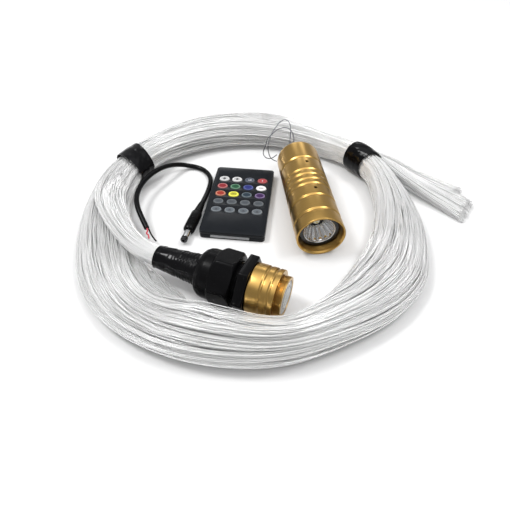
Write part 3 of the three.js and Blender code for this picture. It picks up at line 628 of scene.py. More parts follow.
def lead_at(phi, ou, ow):
    f = np.array(LEAD, float)
    r, z, hw, hh = (np.interp(phi, f[:, 0], f[:, k]) for k in (1, 2, 3, 4))
    t = np.radians(START - phi)
    x, y = COIL_C[0] + r * np.cos(t), COIL_C[1] + r * np.sin(t)
    d = np.stack([np.gradient(x), np.gradient(y)])
    d = d / np.hypot(*d)
    return np.stack([x + d[1] * hw * ou, y - d[0] * hw * ou, z + hh * ow], axis=1)


def strand_lines():
    """Centrelines of all strands, group by group, in layout millimetres."""
    places = packed_places(STRANDS, 0.79)
    reach = np.hypot(*places.T).max()
    phi = np.arange(1.5, TRAVEL - 2.0, 1.25)
    deg = START - phi
    order = rng.permutation(GROUPS)
    tail_lanes = (np.argsort(order) + 0.5) / GROUPS * 2 - 1
    slot_of = rng.permutation(GROUPS)
    out = []
    for g, members in enumerate(grouped(places, GROUPS)):
        turn = 2 * math.pi * (slot_of[g] / GROUPS + phi / 1080.0) + wander(phi, [(1100, 1.0), (500, 0.6)], 0.22)[:, 0]
        reach_g = 1.28 + wander(phi, [(800, 1.0), (390, 0.8)], 0.32)[:, 0]
        walk = np.stack([np.cos(turn), np.sin(turn)], axis=1) * reach_g[:, None]
        lane = float(tail_lanes[g])
        lines = []
        for m in members:
            ou, ow = places[m] / reach
            own = rng.normal(0, 0.24, 2) + wander(phi, [(900, 1.0), (420, 0.8), (210, 0.5), (110, 0.18)], 0.27)
            size = np.linalg.norm(own, axis=1, keepdims=True)
            own = own / np.sqrt(1 + (size / 0.8) ** 2)
            q = to_disc(walk + own)
            q = to_disc(walk + own)
            size = np.linalg.norm(q, axis=1, keepdims=True)
            q = q * size ** -0.2
            under = smooth01(1 - np.abs((phi - 22 + 180) % 360 - 180) / 50) * (phi > 200)
            q[:, 1] = q[:, 1] - 0.3 * under * (q[:, 1] + 1)
            # last stretch: to the outer top of the right tape
            lane_own = np.clip(lane * 0.9 + rng.normal(0, 0.075), -1, 1)
            rise = rng.uniform(-0.9, 0.9)
            aim = np.array([0.4 + 0.42 * lane_own, 0.2 + 0.6 * rise * math.sqrt(max(0.05, 1 - lane_own**2))])
            w = smooth01((phi - (TRAVEL - 75)) / 70)[:, None]
            q = q * (1 - w) + aim * w
            size = np.linalg.norm(q, axis=1, keepdims=True)
            q = q / np.maximum(1, size / 1.0)
            coil = section(deg, q[:, 0], q[:, 1])
            # first stretch: out of the head's wrap and over the top of the coil
            w = smooth01((phi - 26) / 85)[:, None]
            stray = 0.3 * own * smooth01(phi / 25)[:, None]
            coil = lead_at(phi, ou + stray[:, 0], ow + stray[:, 1]) * (1 - w) + coil * w
            s = np.arange(-64.0, -71.1, -1.7)
            c, sn = math.cos(math.radians(HEAD_YAW)), math.sin(math.radians(HEAD_YAW))
            lead_in = np.stack([HEAD_P[0] + c * s - sn * places[m][0], HEAD_P[1] + sn * s + c * places[m][0], np.full(len(s), HEAD_P[2] + places[m][1])], axis=1)
            far = 1.0 - 0.17 * smooth01((lane_own - 0.3) / 0.15) * rng.uniform(0.85, 1.1) - 0.04 * rng.random()
            t = np.linspace(0.03, far, 34)
            drift = rng.normal(0, 0.05) * t**2
            tail = fan_at(t, np.clip(lane_own + drift, -1, 1), 0.85 * rise)
            line = resampled(np.concatenate([lead_in, coil, tail]), step=1.5)
            along = np.arange(len(line)) * 1.5
            total = along[-1]
            weight = np.clip(np.maximum(smooth01(1 - (along - 90) / 60) * smooth01(along / 14), smooth01((along - (total - 190)) / 60)), 0.25, 1)
            weight *= smooth01(along / 14) * smooth01((total - along) / 10)
            line = gaussian_smooth(line, 9.0, 1.5, weight)
            line[:, 2] = np.maximum(line[:, 2], STRAND_R + 0.12)
            lines.append(line)
        out.append(lines)
    return out


def tubes(lines, radius, sides):
    """Closed tubes round lines that all have the same number of points (K, N, 3), in metres."""
    p = np.asarray(lines)
    k, n, _ = p.shape
    tan = np.gradient(p, axis=1)
    tan /= np.linalg.norm(tan, axis=2, keepdims=True)
    up = np.zeros_like(tan)
    up[..., 2] = 1.0
    side = np.cross(tan, up)
    side /= np.linalg.norm(side, axis=2, keepdims=True)
    lift = np.cross(side, tan)
    ang = 2 * math.pi * np.arange(sides) / sides
    ring = p[:, :, None, :] + radius * (np.cos(ang)[None, None, :, None] * side[:, :, None, :] + np.sin(ang)[None, None, :, None] * lift[:, :, None, :])
    verts = ring.reshape(-1, 3)
    i, j = np.meshgrid(np.arange(n - 1), np.arange(sides), indexing="ij")
    a, b = i * sides + j, i * sides + (j + 1) % sides
    quads = np.stack([a, b, b + sides, a + sides], axis=-1).reshape(-1, 4)
    faces = []
    for s in range(k):
        base = s * n * sides
        faces += (quads + base).tolist()
        faces.append([base + x for x in range(sides)][::-1])
        faces.append([base + (n - 1) * sides + x for x in range(sides)])
    return verts, faces


strands = strand_lines()
POINTS = 300
for g, lines in enumerate(strands):
    even = np.array([resampled(l, count=POINTS) for l in lines])
    verts, faces = tubes(row(even), STRAND_R * MM, 6)
    me = bpy.data.meshes.new(f"fibre_group_{g + 1:02d}")
    me.from_pydata(verts.tolist(), [], faces)
    per = len(faces) // len(lines)
    for m in FIBRE_TONES:
        me.materials.append(m.m)
    tone = rng.choice(4, len(lines), p=[0.4, 0.25, 0.2, 0.15])
    me.polygons.foreach_set("material_index", np.repeat(tone, per).astype(np.int32))
    me.polygons.foreach_set("use_smooth", np.ones(len(me.polygons), bool))
    me.update()
    o = bpy.data.objects.new(me.name, me)
    scene.collection.objects.link(o)
    # the declared diameter covers the group's own spread round its middle line
    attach(o, "harness")
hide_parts("fibre_coil", "fibre_lead_in", "fibre_tail")

# ------------------------------------------------------------------ power lead
CABLE = [[-90.6, -31.5, 8], [-96, -22, 10.4], [-100.6, -13, 12.6], [-103.4, -4, 14], [-104.2, 6, 14.6], [-102.6, 17, 14.8], [-98.4, 28, 14.8], [-91.6, 38.6, 14.2], [-84.6, 47.6, 11.4],
         [-77.5, 54.5, 7.4], [-70.5, 57.6, 4.2], [-63, 57.6, 2.6], [-56, 54, 2.2], [-50.4, 47, 2.1], [-47.6, 38.6, 2.1], [-47.6, 29, 2.1], [-48.8, 19, 2.4], [-50.2, 10, 3.4], [-51.2, 3.4, 4.4]]
cable_line = catmull(CABLE, 8)
cable = curve_piece("power_cable", cable_line[::-1], 2.15, mat_pvc, 6)
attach(cable, "power_lead")
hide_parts("lead_cable")

PLUG_YAW = -102.2
plug_at = axis_frame((-51.3, 3.0, 4.6), PLUG_YAW)
body_rows = [[0.0, 0.0], [0.0, 2.2]]
for k in range(5):  # ribs of the strain relief
    a = 1.0 + 2.1 * k
    r = 2.35 + 0.2 * k
    body_rows += [[a, r - 0.3], [a + 0.25, r + 0.15], [a + 1.0, r + 0.25], [a + 1.4, r - 0.15]]
body_rows += [[12.2, 3.0], [12.6, 3.5], [13.6, 4.3], [14.6, 4.58], [22.0, 4.6]]
for k in range(5):  # grip grooves
    a = 23.0 + 1.7 * k
    body_rows += [[a, 4.6], [a + 0.25, 4.25], [a + 0.65, 4.25], [a + 0.9, 4.6]]
body_rows += [[32.6, 4.6], [33.6, 4.35], [34.4, 3.9], [34.4, 0.0]]
plug_body = ring_solid("plug_body", body_rows, plug_at, mat_pvc, seg=64, sharp=50)
barrel = ring_solid("plug_sleeve", fillet([[34.7, 1.4], [34.7, 2.7], [42.2, 2.7], [42.2, 1.4]], 0.15), plug_at, mat_plug_chrome, seg=48)
tip = ring_solid("plug_nose", fillet([[42.5, 1.2], [42.5, 2.75], [45.0, 2.75], [45.8, 2.2], [45.8, 1.2]], 0.3), plug_at, mat_gloss_black, seg=48)
for o, n, s in ((plug_body, "lead_plug_body", "black_pvc"), (barrel, "plug_barrel", "plug_chrome"), (tip, "plug_tip", "black_plastic")):
    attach(o, "power_lead")
    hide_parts(n)
red = curve_piece("bare_end_red", catmull([[-90.2, -32.2, 8.3], [-89.4, -34.4, 7.9], [-89.9, -36.4, 7.0], [-88.4, -37.6, 6.4], [-88.0, -39.2, 5.6], [-87.6, -40, 5]], 6), 0.6, mat_red, 4)
black = curve_piece("bare_end_black", catmull([[-89.0, -31.9, 7.4], [-87.6, -34.4, 5.9], [-85.2, -37.8, 4.6], [-82.2, -41.2, 3.4]], 6), 0.6, mat_pvc, 4)
for o, n, s in ((red, "lead_wire_red", "red_insulation"), (black, "lead_wire_black", "black_pvc")):
    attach(o, "power_lead")
    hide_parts(n)

# ------------------------------------------------------------------ thin wires out of the engine's tail
WIRE_LONG = [[26.2, 53.4, 24.6], [26.6, 58, 25.4], [28, 67, 27], [27, 74, 30], [24, 78, 32], [19, 78.5, 33], [13, 75, 33], [8, 69, 32], [4, 63, 31],
             [2.4, 57, 29], [0.6, 54, 25], [0, 56.5, 19.5], [1, 60, 14], [3.6, 62.4, 10], [7, 63.4, 9], [10, 63.8, 10.5], [12.6, 63.6, 13]]
WIRE_SHORT = [[24.4, 53.2, 24.6], [24, 58, 27.2], [24.6, 70, 30.6], [24.8, 79.5, 34.6], [23.4, 84, 36.2], [20, 86, 37], [15.2, 81.6, 37], [12, 76, 36], [8, 67, 34.8],
              [5.4, 58.5, 33], [4.2, 53, 30], [5, 55, 20.5], [7, 57.5, 13.6], [10, 57.6, 11], [12.4, 54.6, 12]]
for name, node, pts in (("antenna_loop_long", "antenna_wire_long", WIRE_LONG), ("antenna_loop_short", "antenna_wire_short", WIRE_SHORT)):
    line = catmull(pts, 6)
    o = curve_piece(name, line, 0.4, mat_wire, 3)
    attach(o, "engine")
    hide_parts(node)


# ------------------------------------------------------------------ tape bands on the coil
def coil_skin(deg, n, grow, zfloor):
    """Angles round the section with the coil's inner radius, outer radius, height and tape lift at an angle, for n
    points; grow is not used.
    """
    f = 2 * math.pi * np.arange(n) / n
    ri, ro, h = coil_at(np.full(n, deg)).T
    lift = tape_lift(np.full(n, deg))
    return f, ri, ro, h, lift


def tape_band(name, T, node, seed):
    """Several turns of tape round the strands: a thin closed band with creases and a lapped edge."""
    r0 = np.random.default_rng(seed)
    ph = r0.uniform(0, 2 * math.pi, 12)
    across, around = 22, 110
    outer, inner = [], []
    for k in range(across + 1):
        x = k / across  # 0 to 1 across the tape's width
        for j in range(around):
            f = 2 * math.pi * j / around
            d0 = T["a"] - T["half"] + 2 * T["half"] * x
            ri, ro, _ = coil_at(d0)
            rc = (ri + ro) / 2
            d = d0 - T["skew"] * ((ro - ri) / 2 * math.cos(f))
            qi, qo, qh = coil_at(d)
            lift = float(tape_lift(d))
            edge = smooth01(min(x, 1 - x) / 0.1)
            crease = 0.16 * math.sin(5 * f + ph[0] + 9 * x) * math.sin(2 * f + ph[1]) + 0.1 * math.sin(11 * f + ph[2] - 14 * x + 2 * math.sin(3 * f))
            ridge = 0.22 * smooth01((x - 0.34 - 0.05 * math.sin(2 * f + ph[3])) / 0.04) - 0.12 * smooth01((x - 0.78 + 0.04 * math.sin(3 * f + ph[4])) / 0.04)
            g = 0.75 + 0.2 * edge + crease * 0.8 + ridge
            ring = []
            for grow, zf in ((g, 0.06), (0.25, 0.95)):
                cf, sf = math.cos(f), math.sin(f)
                r = (qi + qo) / 2 + ((qo - qi) / 2 + grow) * cf
                z = lift + (qh - lift) / 2 + ((qh - lift) / 2 / math.sin(math.radians(75)) + grow) * sf
                z = max(zf, z)
                t = math.radians(d)
                ring.append((COIL_C[0] + r * math.cos(t), COIL_C[1] + r * math.sin(t), z))
            outer.append(ring[0])
            inner.append(ring[1])
    verts = outer + inner
    n = (across + 1) * around
    faces = []
    for k in range(across):
        for j in range(around):
            a, b = k * around + j, k * around + (j + 1) % around
            faces.append((a, a + around, b + around, b))
            faces.append((n + a, n + b, n + b + around, n + a + around))
    for j in range(around):
        a, b = j, (j + 1) % around
        faces.append((a, b, n + b, n + a))
        a, b = across * around + j, across * around + (j + 1) % around
        faces.append((b, a, n + a, n + b))
    o = mesh_object(name, row(np.array(verts)), faces, mat_tape, sharp=60)
    fix_normals(o)
    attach(o, "harness")
    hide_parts(node)
    return o


tape_band("tape_band_left", TAPE_L, "coil_tape_left", 3)
tape_band("tape_band_right", TAPE_R, "coil_tape_right", 8)

# ------------------------------------------------------------------ head
r_head = np.random.default_rng(5)


def wrap_rows():
    """Tape wound over the strands: lapped turns, fine cross creases near the nut."""
    ph = r_head.uniform(0, 2 * math.pi, 16)
    rows = []
    ss = np.arange(-71.0, -5.0, 0.3)

    def base(s):
        return np.interp(s, [-71.2, -58, -46, -39, -4], [8.15, 8.9, 10.1, 10.85, 10.85])

    def radius(s):
        def f(t):
            pitch = 8.2
            lap = np.mod(s / pitch + t / (2 * math.pi) * 1.0, 1.0)
            step = 0.42 * (lap - 0.5) * (1 - 1 / (1 + np.exp((1 - lap) * 60)) * 0)
            step = 0.36 * lap - 0.36 * smooth01((lap - 0.93) / 0.07)
            near = smooth01((s + 60) / 14) * smooth01((-30 - s) / 6)
            fine = near * (0.3 * np.sin(2 * math.pi * s / 2.3 + 1.2 * np.sin(2 * t + ph[0]) + ph[1]) * (0.5 + 0.5 * np.sin(3 * t + ph[2])))
            soft = 0.13 * np.sin(2 * t + s / 7 + ph[3]) + 0.09 * np.sin(5 * t - s / 4 + ph[4]) * np.sin(s / 9 + ph[5]) + 0.06 * np.sin(9 * t + s / 2.7 + ph[6])
            end = 0.35 * smooth01((-66 - s) / 5)
            return base(s) - 0.12 + step + fine + soft * smooth01((s + 71) / 4) - end * 0.3

        return f

    rows.append([-71.1, 7.6])
    rows.append([-71.15, lambda t: radius(-71.0)(t) - 0.25])
    for s in ss:
        rows.append([float(s), radius(float(s))])
    rows.append([-4.6, 7.6])
    return rows


wrap = ring_solid("head_tape", wrap_rows(), head_at, mat_tape, seg=120, sharp=70)
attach(wrap, "harness")
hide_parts("head_tape_wrap")


def hex_radius(t, af, phase_deg):
    x = np.mod(np.degrees(t) - phase_deg, 60.0)
    return (af / 2) / np.cos(np.radians(x - 30))


def soft_min(a, b, k):
    return -k * np.log(np.exp(-a / k) + np.exp(-b / k))


# gland body: hexagonal flange and the stem that holds the nut
def flange_row(s, drop):
    return [s, lambda t: soft_min(hex_radius(t, 36.0, 52.0), np.full_like(t, 20.6), 0.12) - drop]


rows = [[-6.6, 13.9], flange_row(-6.6, 0.9), flange_row(-6.5, 0.45), flange_row(-6.25, 0.16), flange_row(-5.9, 0.0), flange_row(-3.4, 0.0), flange_row(-0.7, 0.0),
        flange_row(-0.35, 0.16), flange_row(-0.1, 0.45), flange_row(0.0, 0.9), [0.0, 12.6], [11.2, 12.6], [12.0, 12.0], [12.0, 7.65], [-3.6, 7.65], [-3.6, 11.2], [-26.8, 11.2], [-26.8, 13.4]]
for k in range(12):  # thread of the stem
    a = -26.0 + 1.5 * k
    rows += [[a, 13.35], [a + 0.5, 13.88], [a + 0.9, 13.88], [a + 1.4, 13.35]]
rows += [[-7.6, 13.4], [-6.6, 13.4]]
gland = ring_solid("gland_flange", rows, head_at, mat_nylon, seg=180, sharp=38)
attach(gland, "harness")
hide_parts("gland_body")


# dome nut
def nut_row(s, limit, k=0.14):
    return [s, lambda t: soft_min(hex_radius(t, 35.0, 40.0), np.full_like(t, limit), k)]


dome = fillet([[-35.2, 11.45], [-37.6, 11.6], [-37.6, 12.4], [-37.1, 13.7], [-35.6, 15.4], [-33.4, 16.7], [-31, 17.2], [-26.4, 17.25]], [0, 0.3, 0.4, 0.6, 1, 1.2, 2, 0])
rows = [[s, r] for s, r in dome]
rows += [nut_row(-26.2, 17.25), nut_row(-26.0, 17.5), nut_row(-25.7, 17.9), nut_row(-25.2, 18.4, 0.2), nut_row(-24.6, 19.0, 0.2), nut_row(-24.0, 19.5, 0.2), nut_row(-23.2, 19.75, 0.2)]
rows += [nut_row(float(s), 19.8) for s in np.linspace(-22.2, -12.6, 6)]
rows += [nut_row(-12.2, 19.75, 0.2), nut_row(-11.6, 19.3, 0.2), nut_row(-11.0, 18.6, 0.2), nut_row(-10.6, 17.9, 0.2), nut_row(-10.4, 17.3, 0.2)]
rows += [[-10.4, 14.6], [-10.8, 14.25]]
for k in range(14):  # inner thread
    a = -12.0 - 1.5 * k
    rows += [[a, 14.25], [a - 0.5, 14.6], [a - 0.9, 14.6], [a - 1.3, 14.25]]
rows += [[-34.0, 14.2]]
nut = ring_solid("dome_nut", rows, head_at, mat_nylon, seg=240, sharp=38)
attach(nut, "dome_nut")
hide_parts("gland_dome_nut")

# ferrule
prof = [[0.3, 12.95], [0.3, 16.8], [7.95, 16.8], [8.75, 16.25], [9.35, 16.25], [10.15, 16.8], [13.35, 16.8], [14.15, 16.25], [14.75, 16.25], [15.55, 16.8], [18.6, 16.8], [18.6, 13.25]]
prof = fillet(prof, [0, 0.5, 0.8, 0.7, 0.7, 0.8, 0.8, 0.7, 0.7, 0.8, 0.45, 0], 4)
for k in range(5):  # fine thread on the step
    a = 18.9 + 0.72 * k
    prof += [[a, 13.3], [a + 0.26, 13.7], [a + 0.4, 13.7], [a + 0.66, 13.3]]
prof += fillet([[22.5, 13.65], [23.4, 13.65], [23.4, 11.3], [13.0, 11.3], [13.0, 12.95]], [0, 0.35, 0.25, 0, 0], 4)
ferrule = ring_solid("ferrule_turned", prof, head_at, mat_gold_head, seg=144, sharp=32)
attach(ferrule, "harness")
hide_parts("ferrule")

# polished end: resin ring and the strands' cut ends
resin = ring_solid("resin_ring", fillet([[13.4, 7.65], [13.4, 11.0], [23.15, 11.0], [23.22, 10.6], [23.22, 7.65]], 0.1), head_at, mat_resin, seg=96)
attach(resin, "harness")
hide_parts("resin_plug")
dots_v, dots_f = [], []
for y, z in packed_places(300, 0.79):
    base = len(dots_v)
    for s in (22.9, 23.34):
        for k in range(8):
            t = 2 * math.pi * k / 8
            dots_v.append((s, y + 0.37 * math.cos(t), z + 0.37 * math.sin(t)))
    for k in range(8):
        q = (k + 1) % 8
        dots_f.append((base + k, base + q, base + 8 + q, base + 8 + k))
    dots_f.append(tuple(base + 8 + k for k in range(8)))
    dots_f.append(tuple(base + 7 - k for k in range(8)))
dots = mesh_object("fibre_ends", head_at(np.array(dots_v)), dots_f, mat_fibre_end, sharp=40)
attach(dots, "harness")

# ------------------------------------------------------------------ light engine
ENG_R, ENG_H, SEAM = 18.5, 51.8, -25.6
GROOVES = [-8.4, -2.2, 4.2, 10.3, 24.0, 40.1]
prof = [[SEAM + 0.5, 17.7], [SEAM + 1.1, ENG_R]]
rad = [0, 0.3]
for g in GROOVES:
    prof += [[g - 1.5, ENG_R], [g - 0.35, ENG_R - 0.72], [g + 0.35, ENG_R - 0.72], [g + 1.5, ENG_R]]
    rad += [1.0, 0.9, 0.9, 1.0]
prof += [[ENG_H, ENG_R], [ENG_H, 17.3], [50.6, 16.5], [46.0, 15.4], [30.4, 15.3], [29.6, 16.2], [SEAM + 0.5, 16.2]]
rad += [0.6, 0.35, 0.5, 0.1, 0, 0, 0]
housing = ring_solid("engine_barrel", fillet(prof, rad, 4), eng_at, mat_gold_engine, seg=144, sharp=32)
TH = math.radians(85)
cutters = []
for s in (-18.5, 16.1):
    rows = [[-4.0, 0.0], [-4.0, 1.35], [1.2, 1.35], [1.9, 2.0], [4.0, 2.0], [4.0, 0.0]]
    c, sn = math.cos(math.radians(-5)), math.sin(math.radians(-5))

    def hole_at(p, s=s):
        # local x of the cutter runs outwards, 5 degrees off straight up
        p = np.asarray(p, float)
        out = np.array([0.0, math.cos(TH), math.sin(TH)])
        side = np.array([0.0, -math.sin(TH), math.cos(TH)])
        along = np.array([1.0, 0.0, 0.0])
        q = np.array([s, 0, 0]) + np.outer(p[:, 0] + 17.2, out) + np.outer(p[:, 1], along) + np.outer(p[:, 2], side)
        return eng_at(q)

    cutters.append(ring_solid("cut", rows, hole_at, mat_gold_engine, seg=32))
    fix_normals(cutters[-1])
cut_with(housing, cutters)
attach(housing, "engine")
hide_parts("engine_housing")

for s, node in ((-18.5, "set_screw_rear"), (16.1, "set_screw_front")):
    def screw_at(p, s=s):
        p = np.asarray(p, float)
        out = np.array([0.0, math.cos(TH), math.sin(TH)])
        side = np.array([0.0, -math.sin(TH), math.cos(TH)])
        along = np.array([1.0, 0.0, 0.0])
        return eng_at(np.array([s, 0, 0]) + np.outer(p[:, 0] + 17.05, out) + np.outer(p[:, 1], along) + np.outer(p[:, 2], side))

    socket = lambda t: 0.62 / np.cos(np.mod(t, math.pi / 3) - math.pi / 6)
    rows = [[-0.65, 0.0], [-0.65, 1.15], [0.45, 1.15], [0.62, 1.0], [0.62, socket], [-0.3, socket], [-0.45, 0.0]]
    o = ring_solid(node + "_head", rows, screw_at, mat_screw_painted_shade, seg=36, sharp=30)
    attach(o, "engine")
    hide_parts(node)

prof = [[-46.6, 0.0], [-51.8, 0.0], [-51.8, 13.2], [-51.4, 15.4], [-50.2, 17.3], [-48.2, 18.3], [-46.0, ENG_R], [SEAM - 1.7, ENG_R], [SEAM - 0.35, 17.85], [SEAM - 0.1, 17.5], [SEAM - 0.1, 15.9], [-14.6, 15.9], [-14.6, 14.2], [-46.6, 14.2]]
cap = ring_solid("tail_cap", fillet(prof, [0, 0, 1.2, 1.4, 1.6, 1.8, 1.5, 1.0, 0.2, 0.1, 0, 0, 0, 0], 4), eng_at, mat_gold_engine, seg=144, sharp=32)
cutters = []
for y, z, r in ((4.6, 6.0, 2.6), (-2.5, -4.5, 4.9)):
    cutters.append(ring_solid("cut", [[-56, 0.0], [-56, r + 0.0], [-42, r], [-42, 0.0]], eng_at, mat_gold_engine, seg=48, offset=(y, z)))
cut_with(cap, cutters)
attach(cap, "engine")
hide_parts("engine_tail_cap")
grommet = ring_solid("wire_grommet", fillet([[-45.4, 1.6], [-52.6, 1.6], [-52.6, 3.3], [-52.1, 3.3], [-52.1, 2.3], [-45.4, 2.3]], [0, 0.2, 0.25, 0.1, 0, 0]), eng_at, mat_rubber, seg=40, offset=(4.6, 6.0))
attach(grommet, "engine")
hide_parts("tail_grommet")
jack = ring_solid("power_jack", [[-38.4, 0.0], [-48.8, 0.0], [-49.2, 0.6], [-49.2, 0.9], [-48.9, 1.0], [-40.4, 1.0], [-40.4, 3.2], [-52.1, 3.2], [-52.4, 3.5], [-52.4, 5.3], [-52.1, 5.6], [-52.1, 4.6], [-38.4, 4.6]],
                  eng_at, mat_gloss_black, seg=56, offset=(-2.5, -4.5))
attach(jack, "engine")
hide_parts("dc_jack")

# bezel, fluted reflector, lamp
bezel = ring_solid("bezel", fillet([[42.2, 12.3], [45.6, 12.3], [45.6, 14.9], [42.2, 14.9]], [0, 0.25, 0.2, 0]), eng_at, mat_gloss_black, seg=120)
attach(bezel, "engine")
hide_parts("bezel_ring")


def fluted(s, r, depth):
    n = 16

    def f(t):
        x = np.mod(t * n / (2 * math.pi), 1.0) - 0.5
        return r + depth * (4 * x * x - 0.33)

    return [s, f]


rows = [[30.95, 5.5], [31.2, 4.6]]
for s, r, d in ((31.8, 4.85, 0.0), (33.4, 5.6, 0.3), (35.5, 6.8, 0.6), (38.0, 8.2, 0.75), (41.0, 9.7, 0.75), (43.6, 10.8, 0.55), (44.4, 11.25, 0.1)):
    rows.append(fluted(s, r, d))
rows += [[44.8, 11.25], [45.3, 11.35], [45.65, 11.6], [45.75, 11.85], [45.6, 12.1], [45.2, 12.2], [44.6, 12.2], [33.0, 6.6], [31.0, 5.9]]
reflector = ring_solid("reflector_cup", rows, eng_at, mat_chrome, seg=216, sharp=30)
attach(reflector, "engine")
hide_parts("reflector")
lens = ring_solid("lamp_dome", [[30.6, 0.0], [30.6, 4.0], [33.2, 4.0], [33.5, 3.8], [33.55, 2.9], [34.1, 2.82], [34.8, 2.5], [35.4, 1.95], [35.8, 1.35], [36.1, 0.7], [36.2, 0.0]], eng_at,
                  [mat_led, mat_gloss_black, mat_led_die], seg=48, index_of=lambda i: 1 if i in (1, 2, 3) else 2 if i >= 9 else 0)
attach(lens, "engine")
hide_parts("led_emitter")

# ------------------------------------------------------------------ remote
HX, HY = 26.0, 43.0
KEY_PX, KEY_PY, KEY_Y0, KEY_RX, KEY_RY = 11.33, 10.4, 25.8, 4.45, 3.45
TRAY_X0, TRAY_X1 = -17.0, 13.8


def round_rect(x0, y0, x1, y1, r, n=8):
    pts = []
    for cx, cy, a in ((x1 - r, y1 - r, 0), (x0 + r, y1 - r, 90), (x0 + r, y0 + r, 180), (x1 - r, y0 + r, 270)):
        for i in range(n + 1):
            t = math.radians(a + 90 * i / n)
            pts.append((cx + r * math.cos(t), cy + r * math.sin(t)))
    return pts


def slab(name, outlines, z0, z1, edge, mat, at, edge_steps=3):
    """A plate with holes and rounded edges, from flat outlines in local millimetres."""
    cu = bpy.data.curves.new(name, "CURVE")
    cu.dimensions, cu.fill_mode = "2D", "BOTH"
    for pts in outlines:
        sp = cu.splines.new("POLY")
        sp.points.add(len(pts) - 1)
        sp.points.foreach_set("co", [v for x, y in pts for v in (x * MM, y * MM, 0, 1)])
        sp.use_cyclic_u = True
    cu.extrude, cu.bevel_depth, cu.bevel_resolution, cu.offset = (z1 - z0) / 2 * MM - edge * MM, edge * MM, edge_steps, -edge * MM
    o = bpy.data.objects.new(name, cu)
    scene.collection.objects.link(o)
    dg = bpy.context.evaluated_depsgraph_get()
    me = bpy.data.meshes.new_from_object(o.evaluated_get(dg), depsgraph=dg)
    bpy.data.objects.remove(o)
    co = np.zeros(len(me.vertices) * 3)
    me.vertices.foreach_get("co", co)
    co = co.reshape(-1, 3) / MM
    co[:, 2] += (z0 + z1) / 2
    me.vertices.foreach_set("co", at(co).ravel())
    me.materials.clear()
    me.materials.append(mat.m)
    me.polygons.foreach_set("use_smooth", np.ones(len(me.polygons), bool))
    me.update()
    o = bpy.data.objects.new(name, me)
    scene.collection.objects.link(o)
    b = o.modifiers.new("weld", "WELD")
    b.merge_threshold = 1e-6
    apply_modifiers(o)
    o.data.set_sharp_from_angle(angle=math.radians(28))
    return o


def oval(cx, cy, rx, ry, n=40):
    return [(cx + rx * math.cos(2 * math.pi * i / n), cy + ry * math.sin(2 * math.pi * i / n)) for i in range(n)]


def box_mesh(name, lo, hi, mat, at):
    v = [(x, y, z) for z in (lo[2], hi[2]) for y in (lo[1], hi[1]) for x in (lo[0], hi[0])]
    f = [(0, 2, 3, 1), (4, 5, 7, 6), (0, 1, 5, 4), (2, 6, 7, 3), (0, 4, 6, 2), (1, 3, 7, 5)]
    return mesh_object(name, at(np.array(v, float)), f, mat, smooth=False)


holes = [oval((c - 1.5) * KEY_PX, KEY_Y0 - r * KEY_PY, KEY_RX + 0.3, KEY_RY + 0.3) for r in range(5) for c in range(4)]
plate = slab("remote_face", [round_rect(-HX, -HY, HX, HY, 3)] + holes, 5.95, 7.0, 0.3, mat_case, rem_at)
skirt = slab("skirt", [round_rect(-HX, -HY, HX, HY, 3), round_rect(-HX + 1.3, -HY + 1.3, HX - 1.3, HY - 1.3, 1.8)], 3.9, 6.6, 0.12, mat_case, rem_at, 1)
top = joined("remote_top_shell", [plate, skirt])
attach(top, "remote")
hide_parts("remote_case_top")
wall = slab("wall", [round_rect(-HX, -HY, HX, HY, 3), round_rect(-HX + 1.3, -HY + 1.3, HX - 1.3, HY - 1.3, 1.8)], 0.3, 3.6, 0.12, mat_case, rem_at, 1)
floor_plate = slab("floor_plate", [round_rect(-HX, -HY, HX, HY, 3)], 0.0, 0.8, 0.3, mat_case, rem_at)
cut_with(wall, [box_mesh("cut", (TRAY_X0 - 0.35, -HY - 1, 0.8), (TRAY_X1 + 0.35, -HY + 2, 4.2), mat_case, rem_at)])
rails = [box_mesh("rail", (x, -HY + 1.2, 0.7), (x + 1.2, -8, 3.5), mat_case, rem_at) for x in (TRAY_X0 - 1.6, TRAY_X1 + 0.4)]
bottom = joined("remote_bottom_shell", [wall, floor_plate] + rails)
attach(bottom, "remote")
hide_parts("remote_case_bottom")

bar = bevelled(box_mesh("tray_bar", (TRAY_X0, -HY, 1.0), (TRAY_X1, -HY + 3, 3.6), mat_tray, rem_at), 0.25)
tray_mid = (TRAY_X0 + TRAY_X1) / 2
tray = slab("tray", [round_rect(TRAY_X0 + 2.2, -HY + 2.8, TRAY_X1 - 2.2, -HY + 30, 1.5), oval(tray_mid, -HY + 16.5, 10.3, 10.3, 72)], 1.1, 3.5, 0.15, mat_tray, rem_at, 1)
tray = joined("battery_tray", [bar, tray])
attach(tray, "battery_drawer")
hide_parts("remote_battery_tray")
cell_at = lambda p: rem_at(np.stack([tray_mid + np.asarray(p)[:, 1], -HY + 16.5 + np.asarray(p)[:, 2], np.asarray(p)[:, 0]], axis=1))
cell = ring_solid("coin_cell_can", fillet([[1.1, 0.0], [1.1, 8.9], [1.35, 9.3], [1.35, 10.0], [3.5, 10.0], [3.5, 0.0]], [0, 0.1, 0.1, 0.2, 0.4, 0]), cell_at, mat_steel, seg=72)
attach(cell, "battery_drawer")
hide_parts("coin_cell")

KEY_PLAN = [["pale", "pale", "slate", "red"], ["red2", "green", "blue", "white"], ["orange", "yellow", "teal", "purple"], ["grey"] * 4, ["grey2"] * 4]


